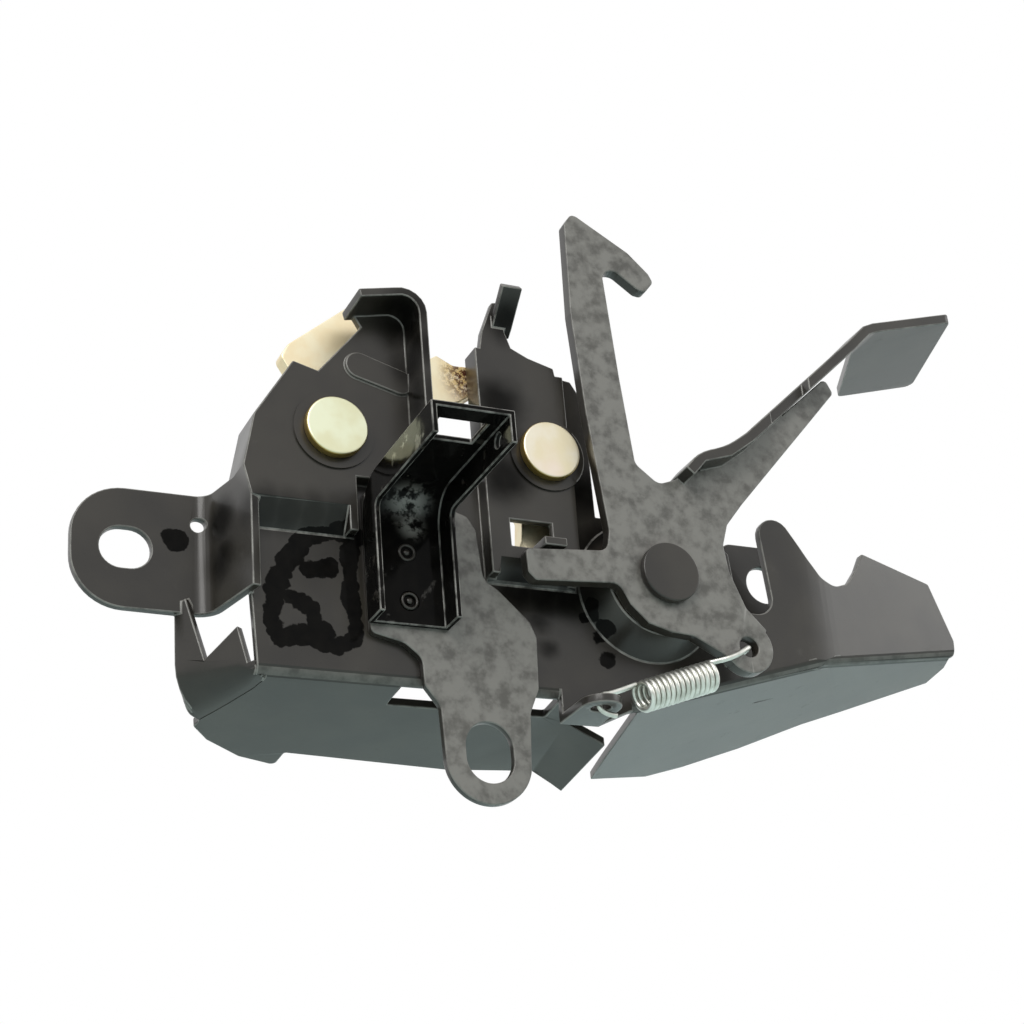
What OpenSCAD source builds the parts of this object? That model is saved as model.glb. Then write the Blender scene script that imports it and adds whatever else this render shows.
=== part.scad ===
// Bonnet latch: a pressed base with a rotary claw and pawl, a guard channel and a sprung safety hook.
// Drawn with X to the right, Y to the rear from the tower faces and Z up, then set on the right bolt hole.

/* [Base] */
// Thickness of the pressed base sheet
sheet_t = 2; // [1.6:0.1:2.4]
// How far the two towers stand in front of the lower panel
tower_raise = 4; // [3:0.25:5]
// Distance from the tower faces back to the plane of the bolting ears
ear_back = 20; // [18:0.5:24]
// Depth of the bottom flange behind the lower panel
flange_d = 40; // [36:1:46]
// Downward slope of the bottom flange in degrees
flange_slope = 6.5; // [4:0.5:9]
// Outside radius of the folds along the bottom of the panel
fold_r = 2.6; // [2.2:0.1:3.2]
// Backward turn of the wing's outer end in degrees
wing_turn = 12; // [6:1:16]
// Radius of the wing's backward bend
wing_r = 45; // [30:1:60]
// Inside radius of the bend at the left ear
ear_bend = 3.4; // [2.4:0.2:5]
// Forward depth of the curled lip beside the striker slot
lip_d = 9; // [6:0.5:11]
// Width of the striker slot
slot_w = 15.2; // [12:0.2:16]
// Height of the striker slot's floor
slot_floor = 9; // [8:0.5:12]
// Radius of the round bolt hole in the right ear
bolt_r = 4.75; // [4.2:0.05:5.2]
// Length of the bolt slot in the left ear
ear_slot_l = 11.2; // [10:0.2:14]
// Height of the bolt slot in the left ear
ear_slot_h = 9.4; // [8.4:0.2:10]

/* [Bracket and guard] */
// Width of the bolt slot in the lower tab
tab_slot_w = 10.8; // [9:0.2:11.4]
// Height of the bolt slot in the lower tab
tab_slot_h = 13.4; // [12:0.2:15]
// Thickness of the bracket plate
bracket_t = 2; // [1.6:0.1:2.2]
// Outside width of the guard channel
guard_w = 18.5; // [16:0.5:19]
// Depth of the guard channel's side walls
guard_wall = 7.4; // [6:0.2:8]
// Sheet of the guard channel
guard_t = 1.3; // [1:0.1:1.6]
// Forward reach of the guard channel from its web
guard_reach = 40; // [34:1:44]
// Outside bend radius of the guard channel
guard_bend = 9; // [8.5:0.5:11]

/* [Claw and pawl] */
// Thickness of the claw and of the pawl
claw_t = 4; // [3:0.25:4.5]
// Width of the claw's mouth
mouth_w = 10.5; // [9:0.25:11]
// Radius of the two pivot pins
pin_r = 4; // [3.6:0.1:4.4]
// Radius of the pin heads
head_r = 7; // [6.4:0.1:7.4]
// Height of the pin heads
head_h = 2.8; // [2:0.1:2.9]
// Wire of the claw and pawl return springs
leg_wire = 1.4; // [1:0.1:1.6]

/* [Safety hook] */
// Thickness of the hook plate
hook_t = 3.2; // [2.6:0.2:3.6]
// Height of the hook's top above its pivot
hook_h = 92; // [84:1:98]
// Width of the hook's shank
shank_w = 9.6; // [8:0.2:11]
// Radius of the rivet's shank
rivet_r = 4; // [3.6:0.1:4.6]
// Radius of the rivet's head
rivet_head_r = 7; // [6.2:0.1:7.6]
// Height of the rivet's head
rivet_head_h = 2; // [1.6:0.1:2.6]
// Sheet of the folded finger strip
strip_t = 2.6; // [2:0.2:3]
// Depth of the finger pad from front to rear
pad_d = 38; // [30:1:40]
// Outside radius of the hook spring's coil
coil_r = 3.6; // [3.2:0.1:3.9]
// Wire of the hook spring
coil_wire = 1.2; // [0.9:0.1:1.3]
// Turns of the hook spring
coil_turns = 14; // [10:1:14]

/* [Hidden] */
$fn = 48;

// Clearances
run_fit = 0.05;
side_gap = 0.2;
seat_gap = 0.3;

// Axes and datum on the drawing
bolt_hole = [75, -2];
claw_axis = [-41, 14.4];
pawl_axis = [10, 15.6];
hook_axis = [33.7, -14.3];
ear_slot = [-81.7, -9.8];
tab_slot = [-8.8, -55.5];

// Pressed rings under the pin heads
ring_r = 9.2;
ring_h = 0.5;
collar_r = pin_r + 1.4;

// Depths, measured to the rear from the tower faces
panel_y = tower_raise;
panel_back = panel_y + sheet_t;
claw_y = panel_back + 0.5;
claw_back = claw_y + claw_t;
clip_t = 1.4;
leg_turns = 2.75;
leg_pitch = leg_wire + 0.05;
pin_end = claw_back + 2 * side_gap + leg_pitch * leg_turns + leg_wire + clip_t;
hook_back = -head_h - 0.5;
hook_y = hook_back - hook_t;
boss_y = hook_back + seat_gap;
bracket_y = panel_y - bracket_t;

// Levels and edges shared by several pressings, and how far one runs into the next
lap = 0.6;
bend_z = -41;
slot_left = -21;
slot_right = slot_left + slot_w;
guard_x = -34.7;
guard_top = 3.2;
wing_x = 80;
wing_z = -27.5;
wing_l = 46.2;
wing_rise = 11.8;
right_bend = [26.4, -43.2];
right_rise = atan2(wing_z - right_bend[1], wing_x - right_bend[0]);
right_run = norm([wing_x, wing_z] - right_bend);
anchor = [14.5, -4.8, -44.6];
ear_eye = hook_axis + [18.8, -15.4];
ear_eye_r = 2.4;

black = "#3a3a37";
zinc = "#d9cfae";
bright = "#c2c1af";

// Outline helpers
function left_of(a, b) = let (d = b - a) [-d[1], d[0]] / norm(d);
function mitre(p, i, t) =
    i == 0 ? t * left_of(p[0], p[1]) :
    i == len(p) - 1 ? t * left_of(p[i - 1], p[i]) :
    let (m = left_of(p[i - 1], p[i]) + left_of(p[i], p[i + 1])) m * 2 * t / (m * m);
function band(p, t) = concat(p, [for (i = [len(p) - 1 : -1 : 0]) p[i] + mitre(p, i, t)]);
function arc(c, r, from, to, n = 6) =
    [for (i = [0 : n]) let (a = from + (to - from) * i / n) c + r * [cos(a), sin(a)]];
function unit(v) = v / norm(v);

module drawing() {
    translate([-bolt_hole[0], -ear_back, -bolt_hole[1]]) children();
}

// Slab of a front-view outline from depth y over d
module front(y, d) {
    translate([0, y + d, 0]) rotate([90, 0, 0]) linear_extrude(d) children();
}

// Slab of a side-view outline, drawn as depth and height, from x over w
module side(x, w) {
    translate([x, 0, 0]) rotate([90, 0, 90]) linear_extrude(w) children();
}

// Round bar along Y at a point of the front view
module bar(at, r, y0, y1) {
    translate([at[0], y1, at[1]]) rotate([90, 0, 0]) cylinder(r = r, h = y1 - y0);
}

module soften(corner, fillet) {
    offset(r = -fillet) offset(r = fillet + corner) offset(delta = -corner) children();
}

// Round-ended slot, l wide and h high
module slot2d(at, l, h) {
    r = min(l, h) / 2;
    end = [max(l - h, 0), max(h - l, 0)] / 2;
    turn = l > h ? -90 : 0;
    translate(at) polygon(concat(arc(end, r, turn, turn + 180, 16), arc(-end, r, turn + 180, turn + 360, 16)));
}

// Solid skinned over a row of flat rings with the same even number of points each
module loft(rings) {
    sides = len(rings[0]);
    last = len(rings) - 1;
    skin = [for (i = [0 : last - 1]) for (k = [0 : sides - 1])
        let (a = i * sides + k, b = i * sides + (k + 1) % sides)
        each [[a, a + sides, b], [b, a + sides, b + sides]]];
    end = [for (k = [0 : sides / 2 - 2]) [k, k + 1, sides - 2 - k, sides - 1 - k]];
    far_end = [for (f = end) [for (i = [3 : -1 : 0]) f[i] + last * sides]];
    polyhedron([for (ring = rings) each ring], concat(skin, end, far_end), convexity = 10);
}

// Round wire swept along points
function tangents(p) = [for (i = [0 : len(p) - 1])
    unit(p[min(i + 1, len(p) - 1)] - p[max(i - 1, 0)])];
function square_to(n, t) = unit(n - t * (n * t));

module wire(p, r, start = [0.1, 1, 0.2], sides = 6) {
    t = tangents(p);
    last = len(p) - 1;
    n = [for (i = 0, v = square_to(start, t[0]); i <= last;
        i = i + 1, v = square_to(v, t[min(i, last)])) v];
    loft([for (i = [0 : last]) [for (k = [0 : sides - 1]) let (a = 360 * k / sides)
        p[i] + r * (cos(a) * n[i] + sin(a) * cross(t[i], n[i]))]]);
}

// Sheet of upright thickness over an underside made of flat faces, with its rim in order
module folded_sheet(points, faces, rim) {
    n = len(points);
    polyhedron(
        concat(points, [for (p = points) p + [0, 0, sheet_t]]),
        concat(
            faces,
            [for (f = faces) [for (i = [len(f) - 1 : -1 : 0]) f[i] + n]],
            [for (k = [0 : len(rim) - 1]) let (a = rim[k], b = rim[(k + 1) % len(rim)]) [a, a + n, b + n, b]]),
        convexity = 6);
}

// Base: left tower
tower_edge = [[-60, -3], [-61.5, 3.7], [-58.8, 16.2], [-49.6, 30.4]];
tower_foot = 6;
guard_side = -36.2;
lip_r = 5.6;
lip_z = 42.2;
lip_path = concat(
    [[-37, lip_z + 3.4]],
    arc([slot_left - lip_r, lip_z], lip_r, 110, 0),
    [[slot_left, tower_foot]]
);

module left_tower() {
    front(0, sheet_t) difference() {
        polygon(concat(
            tower_edge,
            [[-43.9, 28.8], [-33.4, 41.4], [-35.5, lip_z + 3]],
            arc([slot_left - lip_r, lip_z], lip_r - 0.5, 110, 0),
            [[slot_left - 0.5, tower_foot], [guard_side, tower_foot], [guard_side, -3]]
        ));
        translate(claw_axis) circle(pin_r);
    }
    // curled lip round the top and down the striker slot
    front(-lip_d, lip_d + sheet_t) polygon(band(lip_path, -sheet_t));
    // pressed ring round the claw pin and the stiffening tongue
    difference() {
        bar(claw_axis, ring_r, -ring_h, ring_h);
        bar(claw_axis, pin_r, -1, 1);
    }
    front(-0.8, 1.2) hull() {
        translate([-34.5, 31.2]) circle(3.2);
        translate([-25, 28.4]) circle(3);
    }
    // side wall behind the outer edge
    front(0, 11) polygon(band(tower_edge, -sheet_t));
    // sloping ledge and steps down to the lower panel
    side(-60, guard_side + 60) polygon([
        [0, -2.8], [sheet_t, -2.8], [panel_back, -8.8], [panel_y, -8.8]]);
    translate([guard_side - sheet_t, 0, -8.8]) cube([sheet_t, panel_back, tower_foot + 8.8]);
    translate([guard_side - sheet_t, 0, tower_foot - sheet_t])
        cube([slot_left - guard_side + sheet_t, panel_back, sheet_t]);
}

// Base: right tower
stop_lip = [4.2, 9.6];
stop_z = hook_axis[1] + 3.9 + seat_gap;
right_foot = -11;

module right_tower() {
    front(0, sheet_t) difference() {
        polygon([
            [slot_right, right_foot], [16, right_foot], [15.4, 8], [15.6, 26], [13.8, 38.4], [7.5, 40.2],
            [3.4, 42.2], [2.2, 46], [1.2, 54], [-0.6, 53.6], [slot_right + 2, 45.4], [slot_right + 1, 40],
            [slot_right, 38]]);
        translate(pawl_axis) circle(pin_r);
        translate([-0.6, stop_z + sheet_t]) square([10.2, 6.4]);
    }
    // pressed ring round the pawl pin
    difference() {
        bar(pawl_axis, ring_r, -ring_h, sheet_t);
        bar(pawl_axis, pin_r, -1, sheet_t + 1);
    }
    // walls back to the panel beside the slot and on the right, and the sloping ledge
    translate([slot_right, 0, right_foot - 4]) cube([sheet_t, panel_back, 56]);
    difference() {
        translate([14, 0, right_foot - 4]) cube([sheet_t, panel_back, 51.5]);
        bar(pawl_axis, collar_r + 1, sheet_t, panel_back + 1);
    }
    side(slot_right, 16 - slot_right) polygon([
        [0, right_foot + 0.2], [sheet_t, right_foot + 0.2],
        [panel_back, right_foot - 5], [panel_y, right_foot - 5]]);
    // lip that stops the hook's arm, and the tab at the tower's tip
    translate([stop_lip[0], hook_y, stop_z])
        cube([stop_lip[1] - stop_lip[0], sheet_t - hook_y, sheet_t]);
    side(-1, 5) polygon(band([[sheet_t, 45.6], [0, 47], [-7.4, 53.8]], -sheet_t));
}

// Base: lower panel, boss, wing and flanges
strip_x = 23;
boss_top_r = 13;
boss_foot_r = 18;
notch_z = -16.4;
wing_from = 58.6;
function right_z(x) = right_bend[1] + (x - right_bend[0]) * tan(right_rise);

module panel() {
    difference() {
        front(panel_y, sheet_t) polygon([
            [-58.2, bend_z], [-60, -8.6], [guard_side, -8.6], [guard_side, tower_foot],
            [slot_left, tower_foot], [slot_left, slot_floor], [slot_right + 1, slot_floor],
            [slot_right + 1, right_foot - 4.8], [14, right_foot - 4.8], [14, 36], [17, 38.4], [20, 38],
            [strip_x, 33], [strip_x, 3.4], [50, 3.4], [57, -2], [58, notch_z], [wing_from + 6, notch_z],
            [wing_from + 6, right_z(wing_from + 6)], right_bend,
            [anchor[0] + 4.6, anchor[2] - sheet_t], [anchor[0] - 4.6, anchor[2] - sheet_t],
            [anchor[0] - 4.6, bend_z]]);
        bar(hook_axis, boss_foot_r - sheet_t, panel_y - 1, panel_back + 1);
        bar(pawl_axis, collar_r + 1, panel_y - 1, panel_back + 1);
    }
    // drawn boss that carries the hook
    translate([hook_axis[0], panel_back, hook_axis[1]]) rotate([90, 0, 0]) difference() {
        cylinder(r1 = boss_foot_r, r2 = boss_top_r, h = panel_back - boss_y);
        translate([0, 0, -sheet_t])
            cylinder(r1 = boss_foot_r - sheet_t, r2 = boss_top_r - sheet_t, h = panel_back - boss_y);
        cylinder(r = rivet_r, h = panel_back - boss_y + 1);
    }
}

// Flange planes: underside height behind the left bend, and a point along a bend and to the rear of it
function flange_z(y) = bend_z - (y - panel_y) * tan(flange_slope);
function sloped(p) = [p[0], p[1] * cos(flange_slope), -p[1] * sin(flange_slope)];
function risen(p, a) = [p[0] * cos(a) - p[2] * sin(a), p[1], p[0] * sin(a) + p[2] * cos(a)];
function turned(p, a) = [p[0] * cos(a) - p[1] * sin(a), p[0] * sin(a) + p[1] * cos(a), p[2]];
function on_right(p) = [right_bend[0], panel_y, right_bend[1]] + risen(sloped(p), right_rise);
function on_wing(p) = [wing_x, panel_y, wing_z] + turned(risen(sloped(p), wing_rise), wing_turn);
flange_up = [0, sin(flange_slope), cos(flange_slope)];

// Wedge that rounds the outside of a fold, from one end of it to the other
module fold_cut(at, rise, from, to) {
    r = fold_r;
    mid = [r, r / cos(flange_slope) - r * tan(flange_slope)];
    translate([at[0], panel_y, at[1]]) rotate([0, -rise, 0]) side(from, to - from)
        polygon(concat(arc(mid, r, 190, 260 - flange_slope), [[mid[0], -2], [-2, -2], [-2, mid[1]]]));
}

// Wing: the panel's right end, with the tab and the notch in its top edge, bent to the rear
module wing_plate() {
    bend_x = wing_x - wing_r * tan(wing_turn / 2);
    tip = [wing_x, panel_y] + (wing_l + 1) * [cos(wing_turn), sin(wing_turn)];
    tip_x = wing_x + wing_l * cos(wing_turn);
    inside = lap / 2;
    intersection() {
        translate([0, 0, -60]) linear_extrude(90) polygon(band(concat(
            [[wing_from, panel_y]],
            arc([bend_x, panel_y + wing_r], wing_r, -90, wing_turn - 90),
            [tip]), sheet_t));
        front(panel_y - 1, 60) soften(1, 4.5) polygon(concat(
            [[wing_from - 6, right_z(wing_from - 6) + inside], [wing_from - 6, notch_z], [67.6, notch_z]],
            arc([70.6, 4.2], 4.4, 185, 38, 8),
            [[79, -0.6], [82.4, -5], [86.4, -6.6], [91, -4.8], [94.6, -0.4], [97.4, 4.4], [119.6, 0.6],
             [tip_x + 0.2, -13.6], [tip_x - 0.2, wing_z + inside + wing_l * tan(wing_rise)],
             [wing_x - 1, right_z(wing_x - 1) + inside]]));
    }
}

// Right flange: one sheet, folded along the line where the panel's and the wing's planes meet
module right_flange() {
    fold = cross(risen(flange_up, right_rise), turned(risen(flange_up, wing_rise), wing_turn));
    corner = [wing_x, panel_y, wing_z];
    points = [
        on_right([2.5, lap]), corner + fold / fold[1] * 2 * lap,
        on_wing([wing_l - 1, lap]), on_wing([wing_l + 3.4, 6.5]), on_wing([wing_l + 6.4, 15.6]),
        corner + fold / fold[1] * (flange_d - 3),
        on_right([right_run + 16, flange_d - 0.6]), on_right([right_run, flange_d + 5.6]),
        on_right([40, flange_d + 8.8]), on_right([29, flange_d + 8.8]),
        on_right([8.9, flange_d]), on_right([7.2, flange_d - 9])];
    folded_sheet(points, [[0, 1, 5, 6, 7, 8, 9, 10, 11], [1, 2, 3, 4, 5]], [for (i = [0 : 11]) i]);
}

// Left flange, notched behind the tab, and its flap beside the spring anchor, folded down
module left_flange() {
    tab_left = -26.5;
    tab_right = 10.5;
    tab_notch = 10;
    rear = flange_d - 3.4;
    flap_front = 12.2;
    translate([0, panel_y, bend_z]) rotate([-flange_slope, 0, 0]) linear_extrude(sheet_t)
        soften(1.2, 0.5) polygon([
            [-56, lap], [tab_left, lap], [tab_left, tab_notch], [tab_right, tab_notch], [tab_right, lap],
            [14, lap], [16.9, flap_front], [20.5, rear], [-1, rear + 2.4], [-40.7, rear - 0.8],
            [-41, rear + 5.6], [-50.3, rear + 2.4], [-59.5, rear - 4.5], [-64, rear - 10.2],
            [-63.6, 23], [-61.6, 18.8], [-59.8, 14.8], [-56.8, 7.4], [-56, 4]]);
    front_edge = [0, panel_y, bend_z] + sloped([15.7, flap_front]) + [0, 0, 0.5];
    rear_edge = [0, panel_y, bend_z] + sloped([19.3, rear]) + [0, 0, 0.5];
    flap = [front_edge, [25.5, 15.2, -47.2], [27.3, flange_d + 2, -49.1], rear_edge];
    folded_sheet(flap, [[0, 1, 2, 3]], [0, 1, 2, 3]);
}

// Left end of the tray: plan point, top level and corner radius of its wall, from the panel round to the ear
skirt_in = [0.8, 0.6];
skirt_stub = 4;
skirt_inset = 0.1;
skirt = [
    [-67.6, 24.4, -40.1, 2.6], [-69.8, 21.6, -34, 7], [-71, 19.6, -22.6, 8], [-69.3, 17.2, -20.4, 8],
    [-66.3, 14, -35.2, 6.5], [-61.1, 7.8, -29.7, 4], [-59.6, 6.1, -38.4, 2.2], [-58.5, 4.6, -38.2, 2.2]];
function skirt_at(p, in, up) =
    let (y = p[1] + in * skirt_in[1]) [p[0] + in * skirt_in[0], y, flange_z(y) + skirt_inset + up];
function skirt_ring(p) = let (r = p[3], t = sheet_t - 2 * skirt_inset, n = r - t) concat(
    [[p[0], p[1], p[2]]],
    [for (i = [0 : 5]) let (a = 18 * i) skirt_at(p, r - r * cos(a), r - r * sin(a))],
    [skirt_at(p, r + skirt_stub, 0), skirt_at(p, r + skirt_stub, t)],
    [for (i = [5 : -1 : 0]) let (a = 18 * i) skirt_at(p, r - n * cos(a), r - n * sin(a))],
    [[p[0] + t * skirt_in[0], p[1] + t * skirt_in[1], p[2]]]);

// Panel, wing and flanges with their folds rounded
module tray() {
    difference() {
        union() {
            panel();
            wing_plate();
            right_flange();
            left_flange();
        }
        fold_cut([0, bend_z], 0, -62, 10);
        fold_cut(right_bend, right_rise, 1, right_run + 0.8);
        translate([wing_x, panel_y, 0]) rotate([0, 0, wing_turn]) translate([-wing_x, -panel_y, 0])
            fold_cut([wing_x, wing_z], wing_rise, -2.2, wing_l + 4);
    }
    loft([for (p = skirt) skirt_ring(p)]);
}

module left_ear() {
    lean = 4.5;
    face_y = ear_back - sheet_t;
    along = unit([-lean, ear_back]);
    mid_y = face_y - ear_bend;
    mid_x = -60 - (ear_bend - along[0] * mid_y) / along[1];
    difference() {
        intersection() {
            translate([0, 0, -30]) linear_extrude(40) polygon(band(concat(
                [[-60, 0]],
                arc([mid_x, mid_y], ear_bend, atan2(-along[0], along[1]), 90),
                [[-95, face_y]]), -sheet_t));
            front(-1, ear_back + 2) offset(r = 11.5) offset(delta = -11.5) translate([-93.4, -23.6])
                square([60, 27.6]);
        }
        front(0, ear_back + 1) slot2d(ear_slot, ear_slot_l, ear_slot_h);
        bar([-66, -3], 1.6, 0, ear_back + 1);
    }
}

module right_ear() {
    front(ear_back - sheet_t, sheet_t) difference() {
        soften(3, 0.5) polygon([[64, -34], [64, 8], [86, 8], [88, -26.6]]);
        translate(bolt_hole) circle(bolt_r);
    }
}

module anchor_tab() {
    translate([0, 0, anchor[2] - sheet_t]) linear_extrude(sheet_t) difference() {
        union() {
            translate([anchor[0] - 4.6, anchor[1]]) square([9.2, panel_back - anchor[1]]);
            translate([anchor[0], anchor[1]]) circle(4.6);
        }
        translate([anchor[0], anchor[1]]) circle(2.2);
    }
}

module base_plate() {
    color(black) drawing() {
        left_tower();
        right_tower();
        tray();
        left_ear();
        right_ear();
        anchor_tab();
    }
}

// Flat bracket on the panel, with the lower bolting tab
module lower_bracket() {
    color(black) drawing() front(bracket_y, bracket_t) difference() {
        soften(1.5, 3) polygon([
            [-34, -30.8], [-34, 2], [-16.4, 2], [-12.6, -0.6], [-10, -1.4], [-8.1, -4.6], [-7.2, -16.2],
            [-4, -18.2], [3, -25], [4.4, -28.6], [3.8, -40.5], [1.4, -46], [0.8, -59.8], [-2.4, -64.8],
            [-8, -67], [-13, -65.6], [-17.4, -61.4], [-18.9, -57], [-19.3, -46], [-22.6, -41.6],
            [-22.8, -35.6], [-26.5, -32.6]]);
        slot2d(tab_slot, tab_slot_w, tab_slot_h);
    }
}

// Guard: an L-shaped channel, its shelf reaching forward over the slot
guard_path = concat(
    [[bracket_y, -29]],
    arc([bracket_y - guard_bend, guard_top - guard_bend], guard_bend, 0, 90),
    [[bracket_y - guard_reach, guard_top]]
);

module guard_channel() {
    window_w = 0.58 * guard_w;
    mid = guard_x + guard_w / 2;
    color(black) drawing() difference() {
        union() {
            side(guard_x, guard_w) polygon(band(guard_path, guard_t));
            for (x = [guard_x, guard_x + guard_w - guard_t])
                side(x, guard_t) polygon(band(guard_path, guard_wall));
        }
        translate([mid - window_w / 2, bracket_y - guard_reach + 5, guard_top - guard_t - 1])
            cube([window_w, 8.7, guard_t + 2]);
        translate([mid, bracket_y - guard_reach + 6.5, -0.6]) rotate([0, 90, 0])
            cylinder(r = 1.6, h = guard_w);
        bar([mid, -23.6], 2.3, bracket_y - guard_t - 1, bracket_y - guard_t + 0.4);
    }
}

// Pivot pin with a flat head in front, one diameter to its rear end
module pivot_pin(at) {
    color(zinc) drawing() {
        bar(at, head_r, -head_h, -ring_h);
        bar(at, pin_r - run_fit, -1, pin_end);
    }
}

module pin_collar(at) {
    color(zinc) drawing() difference() {
        bar(at, collar_r, sheet_t, claw_y - side_gap);
        bar(at, pin_r, sheet_t - 1, claw_y + 1);
    }
}

module pin_clip(at) {
    color(bright) drawing() difference() {
        bar(at, 7.4, pin_end - clip_t, pin_end);
        bar(at, pin_r, pin_end - clip_t - 1, pin_end + 1);
    }
}

module claw_pin() { pivot_pin(claw_axis); }
module claw_collar() { pin_collar(claw_axis); }
module claw_clip() { pin_clip(claw_axis); }
module pawl_pin() { pivot_pin(pawl_axis); }
module pawl_collar() { pin_collar(pawl_axis); }
module pawl_clip() { pin_clip(pawl_axis); }

// Claw, drawn open: mouth up and to the right, nose across the slot
mouth = [15.4, 24.6];
mouth_dir = 33;
nose_r = 43.6;
claw_hole = [-4, 9];

module claw() {
    color(zinc) drawing() front(claw_y, claw_t) translate(claw_axis) difference() {
        intersection() {
            soften(1.6, 2) union() {
                circle(12.4);
                polygon([
                    [-11.6, 2], [-6.4, 16], [-9.2, 20.8], [-7.2, 24], [9, 37.4], [14.6, 37.6],
                    [18.4, 33.4], [27.4, 27.4], [32.4, 24.8], [37.2, 25],
                    [39, 22], [37.6, 18.4], [33.4, 15.4], [22, 12.4], [12, -2]]);
            }
            circle(nose_r);
        }
        translate(mouth) rotate(mouth_dir) polygon(concat(
            arc([0, 0], mouth_w / 2, 90, 270, 16), [[40, -mouth_w / 2], [40, mouth_w / 2]]));
        circle(pin_r);
        translate(claw_hole) circle(leg_wire / 2 + 0.4);
    }
}

// Pawl, drawn just clear of the nose's path, with a tooth that drops over the nose
tooth_z = -12;
tooth_h = 4.4;
tooth_r = nose_r + 0.6;
function rim_x(z) =
    sqrt(pow(tooth_r, 2) - pow(z + pawl_axis[1] - claw_axis[1], 2)) + claw_axis[0] - pawl_axis[0];
pawl_hole = [5, -7];

module pawl() {
    color(zinc) drawing() front(claw_y, claw_t) translate(pawl_axis) difference() {
        soften(0.8, 1.5) union() {
            circle(6.8);
            polygon([
                [-5, 3], [-5.4, -5], [rim_x(tooth_z + tooth_h), tooth_z + tooth_h], [rim_x(tooth_z), tooth_z],
                [-4.4, tooth_z - 0.4], [-5, -19],
                [-8, -27], [-3.6, -31], [2, -29], [4.6, -18], [11.6, -9], [13, 2], [9, 7.4], [2, 6.6]]);
        }
        circle(pin_r);
        translate(pawl_hole) circle(leg_wire / 2 + 0.4);
        translate([-3, -26]) circle(2.2);
    }
}

// Return spring: a coil round the pin behind the lever, one leg on the base and one in the lever
leg_coil_r = pin_r + 2.4;

function leg_coil(at, from, steps = 40) = [for (i = [0 : steps])
    let (a = from - 360 * leg_turns * i / steps)
    [at[0] + leg_coil_r * cos(a),
     claw_back + side_gap + leg_wire / 2 + leg_pitch * leg_turns * i / steps,
     at[1] + leg_coil_r * sin(a)]];

module claw_spring() {
    foot = claw_axis + claw_hole;
    coil = leg_coil(claw_axis, 90);
    lie = coil[0][1];
    rear = coil[len(coil) - 1];
    color(bright) drawing() wire(concat(
        [[foot[0], claw_y + 1, foot[1]], [foot[0], lie - 0.4, foot[1]],
         [foot[0] + 1.2, lie, foot[1] - 1.4]],
        coil,
        [[claw_axis[0] - 9, rear[1], claw_axis[1] - 3.4], [-56.2, rear[1], claw_axis[1] - 8.2],
         [-57.4, rear[1] - 1, claw_axis[1] - 8.6], [-57.4, 7, claw_axis[1] - 8.6]]),
        leg_wire / 2);
}

module pawl_spring() {
    foot = pawl_axis + pawl_hole;
    coil = leg_coil(pawl_axis, -10);
    leg_x = strip_x + seat_gap + leg_wire / 2;
    lie = coil[0][1];
    rear = coil[len(coil) - 1];
    color(bright) drawing() wire(concat(
        [[foot[0], claw_y + 1, foot[1]], [foot[0], lie - 0.4, foot[1]], [foot[0] + 0.6, lie, foot[1] + 1.6]],
        coil,
        [[pawl_axis[0] + 4, rear[1], pawl_axis[1] + 9], [leg_x - 1.2, rear[1], pawl_axis[1] + 13],
         [leg_x, rear[1] - 1, pawl_axis[1] + 13.4], [leg_x, panel_y, pawl_axis[1] + 13.4]]),
        leg_wire / 2);
}

// Rivet of the safety hook, closed behind the boss
module hook_rivet() {
    head_y = hook_y - side_gap;
    close_y = boss_y + sheet_t;
    color(black) drawing() {
        bar(hook_axis, rivet_head_r, head_y - rivet_head_h, head_y);
        bar(hook_axis, rivet_r - run_fit, head_y - 1, close_y + 1);
        bar(hook_axis, rivet_r + 2, close_y, close_y + 1.8);
    }
}

// Safety hook: outline about its pivot, beak to the right, stop arm to the left, finger arm up and right
shank_x = -16.8;
finger_path = [
    [5.2, 25], [9.2, 29.4], [16.6, 31.8], [22.6, 36.2], [55.6, 66], [61, 71.2], [64, 72.6], [106, 84.6]];
finger_y = hook_y - 5.4;

module hook_plate() {
    right = shank_x + shank_w;
    soften(1.2, 2.6) polygon([
        [shank_x + 0.2, hook_h - 3], [shank_x - 0.6, 0.7 * hook_h], [shank_x + 0.7, 38], [-13.4, 9.5],
        [-14.4, 4.4], [-34.4, 2.7], [-34.2, -2.8], [-32.4, -4.6], [-12.4, -3.2], [-10, -8], [-6, -12],
        [-0.5, -13.6], [5, -14], [12, -17.6], [14.4, -19.6], [18.6, -21.6], [23, -19.4], [25, -15.6], [24, -11],
        [19.4, -6], [16.2, 2.6], [15.6, 9], [17.4, 14.4], [22, 20], [52.6, 53.8], [50.8, 57.8], [23, 33.4],
        [17, 30], [6, 24.6], [0.6, 22.6], [right + 2.4, 27], [right + 0.8, 49], [right - 0.6, hook_h - 16],
        [right + 0.6, hook_h - 14], [right + 3.2, hook_h - 14], [right + 8.6, hook_h - 18],
        [right + 10.6, hook_h - 18.2], [right + 13, hook_h - 15.2], [right + 12, hook_h - 13],
        [right + 7, hook_h - 8], [shank_x + 3.6, hook_h - 0.2], [shank_x + 2.2, hook_h]]);
}

module finger_strip() {
    pad_left = 63;
    pad_w = 25;
    skew = 0.4 * pad_d;
    intersection() {
        front(finger_y, pad_d) polygon(band(finger_path, -strip_t));
        linear_extrude(120) soften(2, 2) polygon([
            [0, finger_y], [pad_left + pad_w, finger_y], [pad_left + pad_w + skew, finger_y + pad_d],
            [pad_left + skew, finger_y + pad_d], [pad_left, hook_back], [0, hook_back]]);
    }
}

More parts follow.
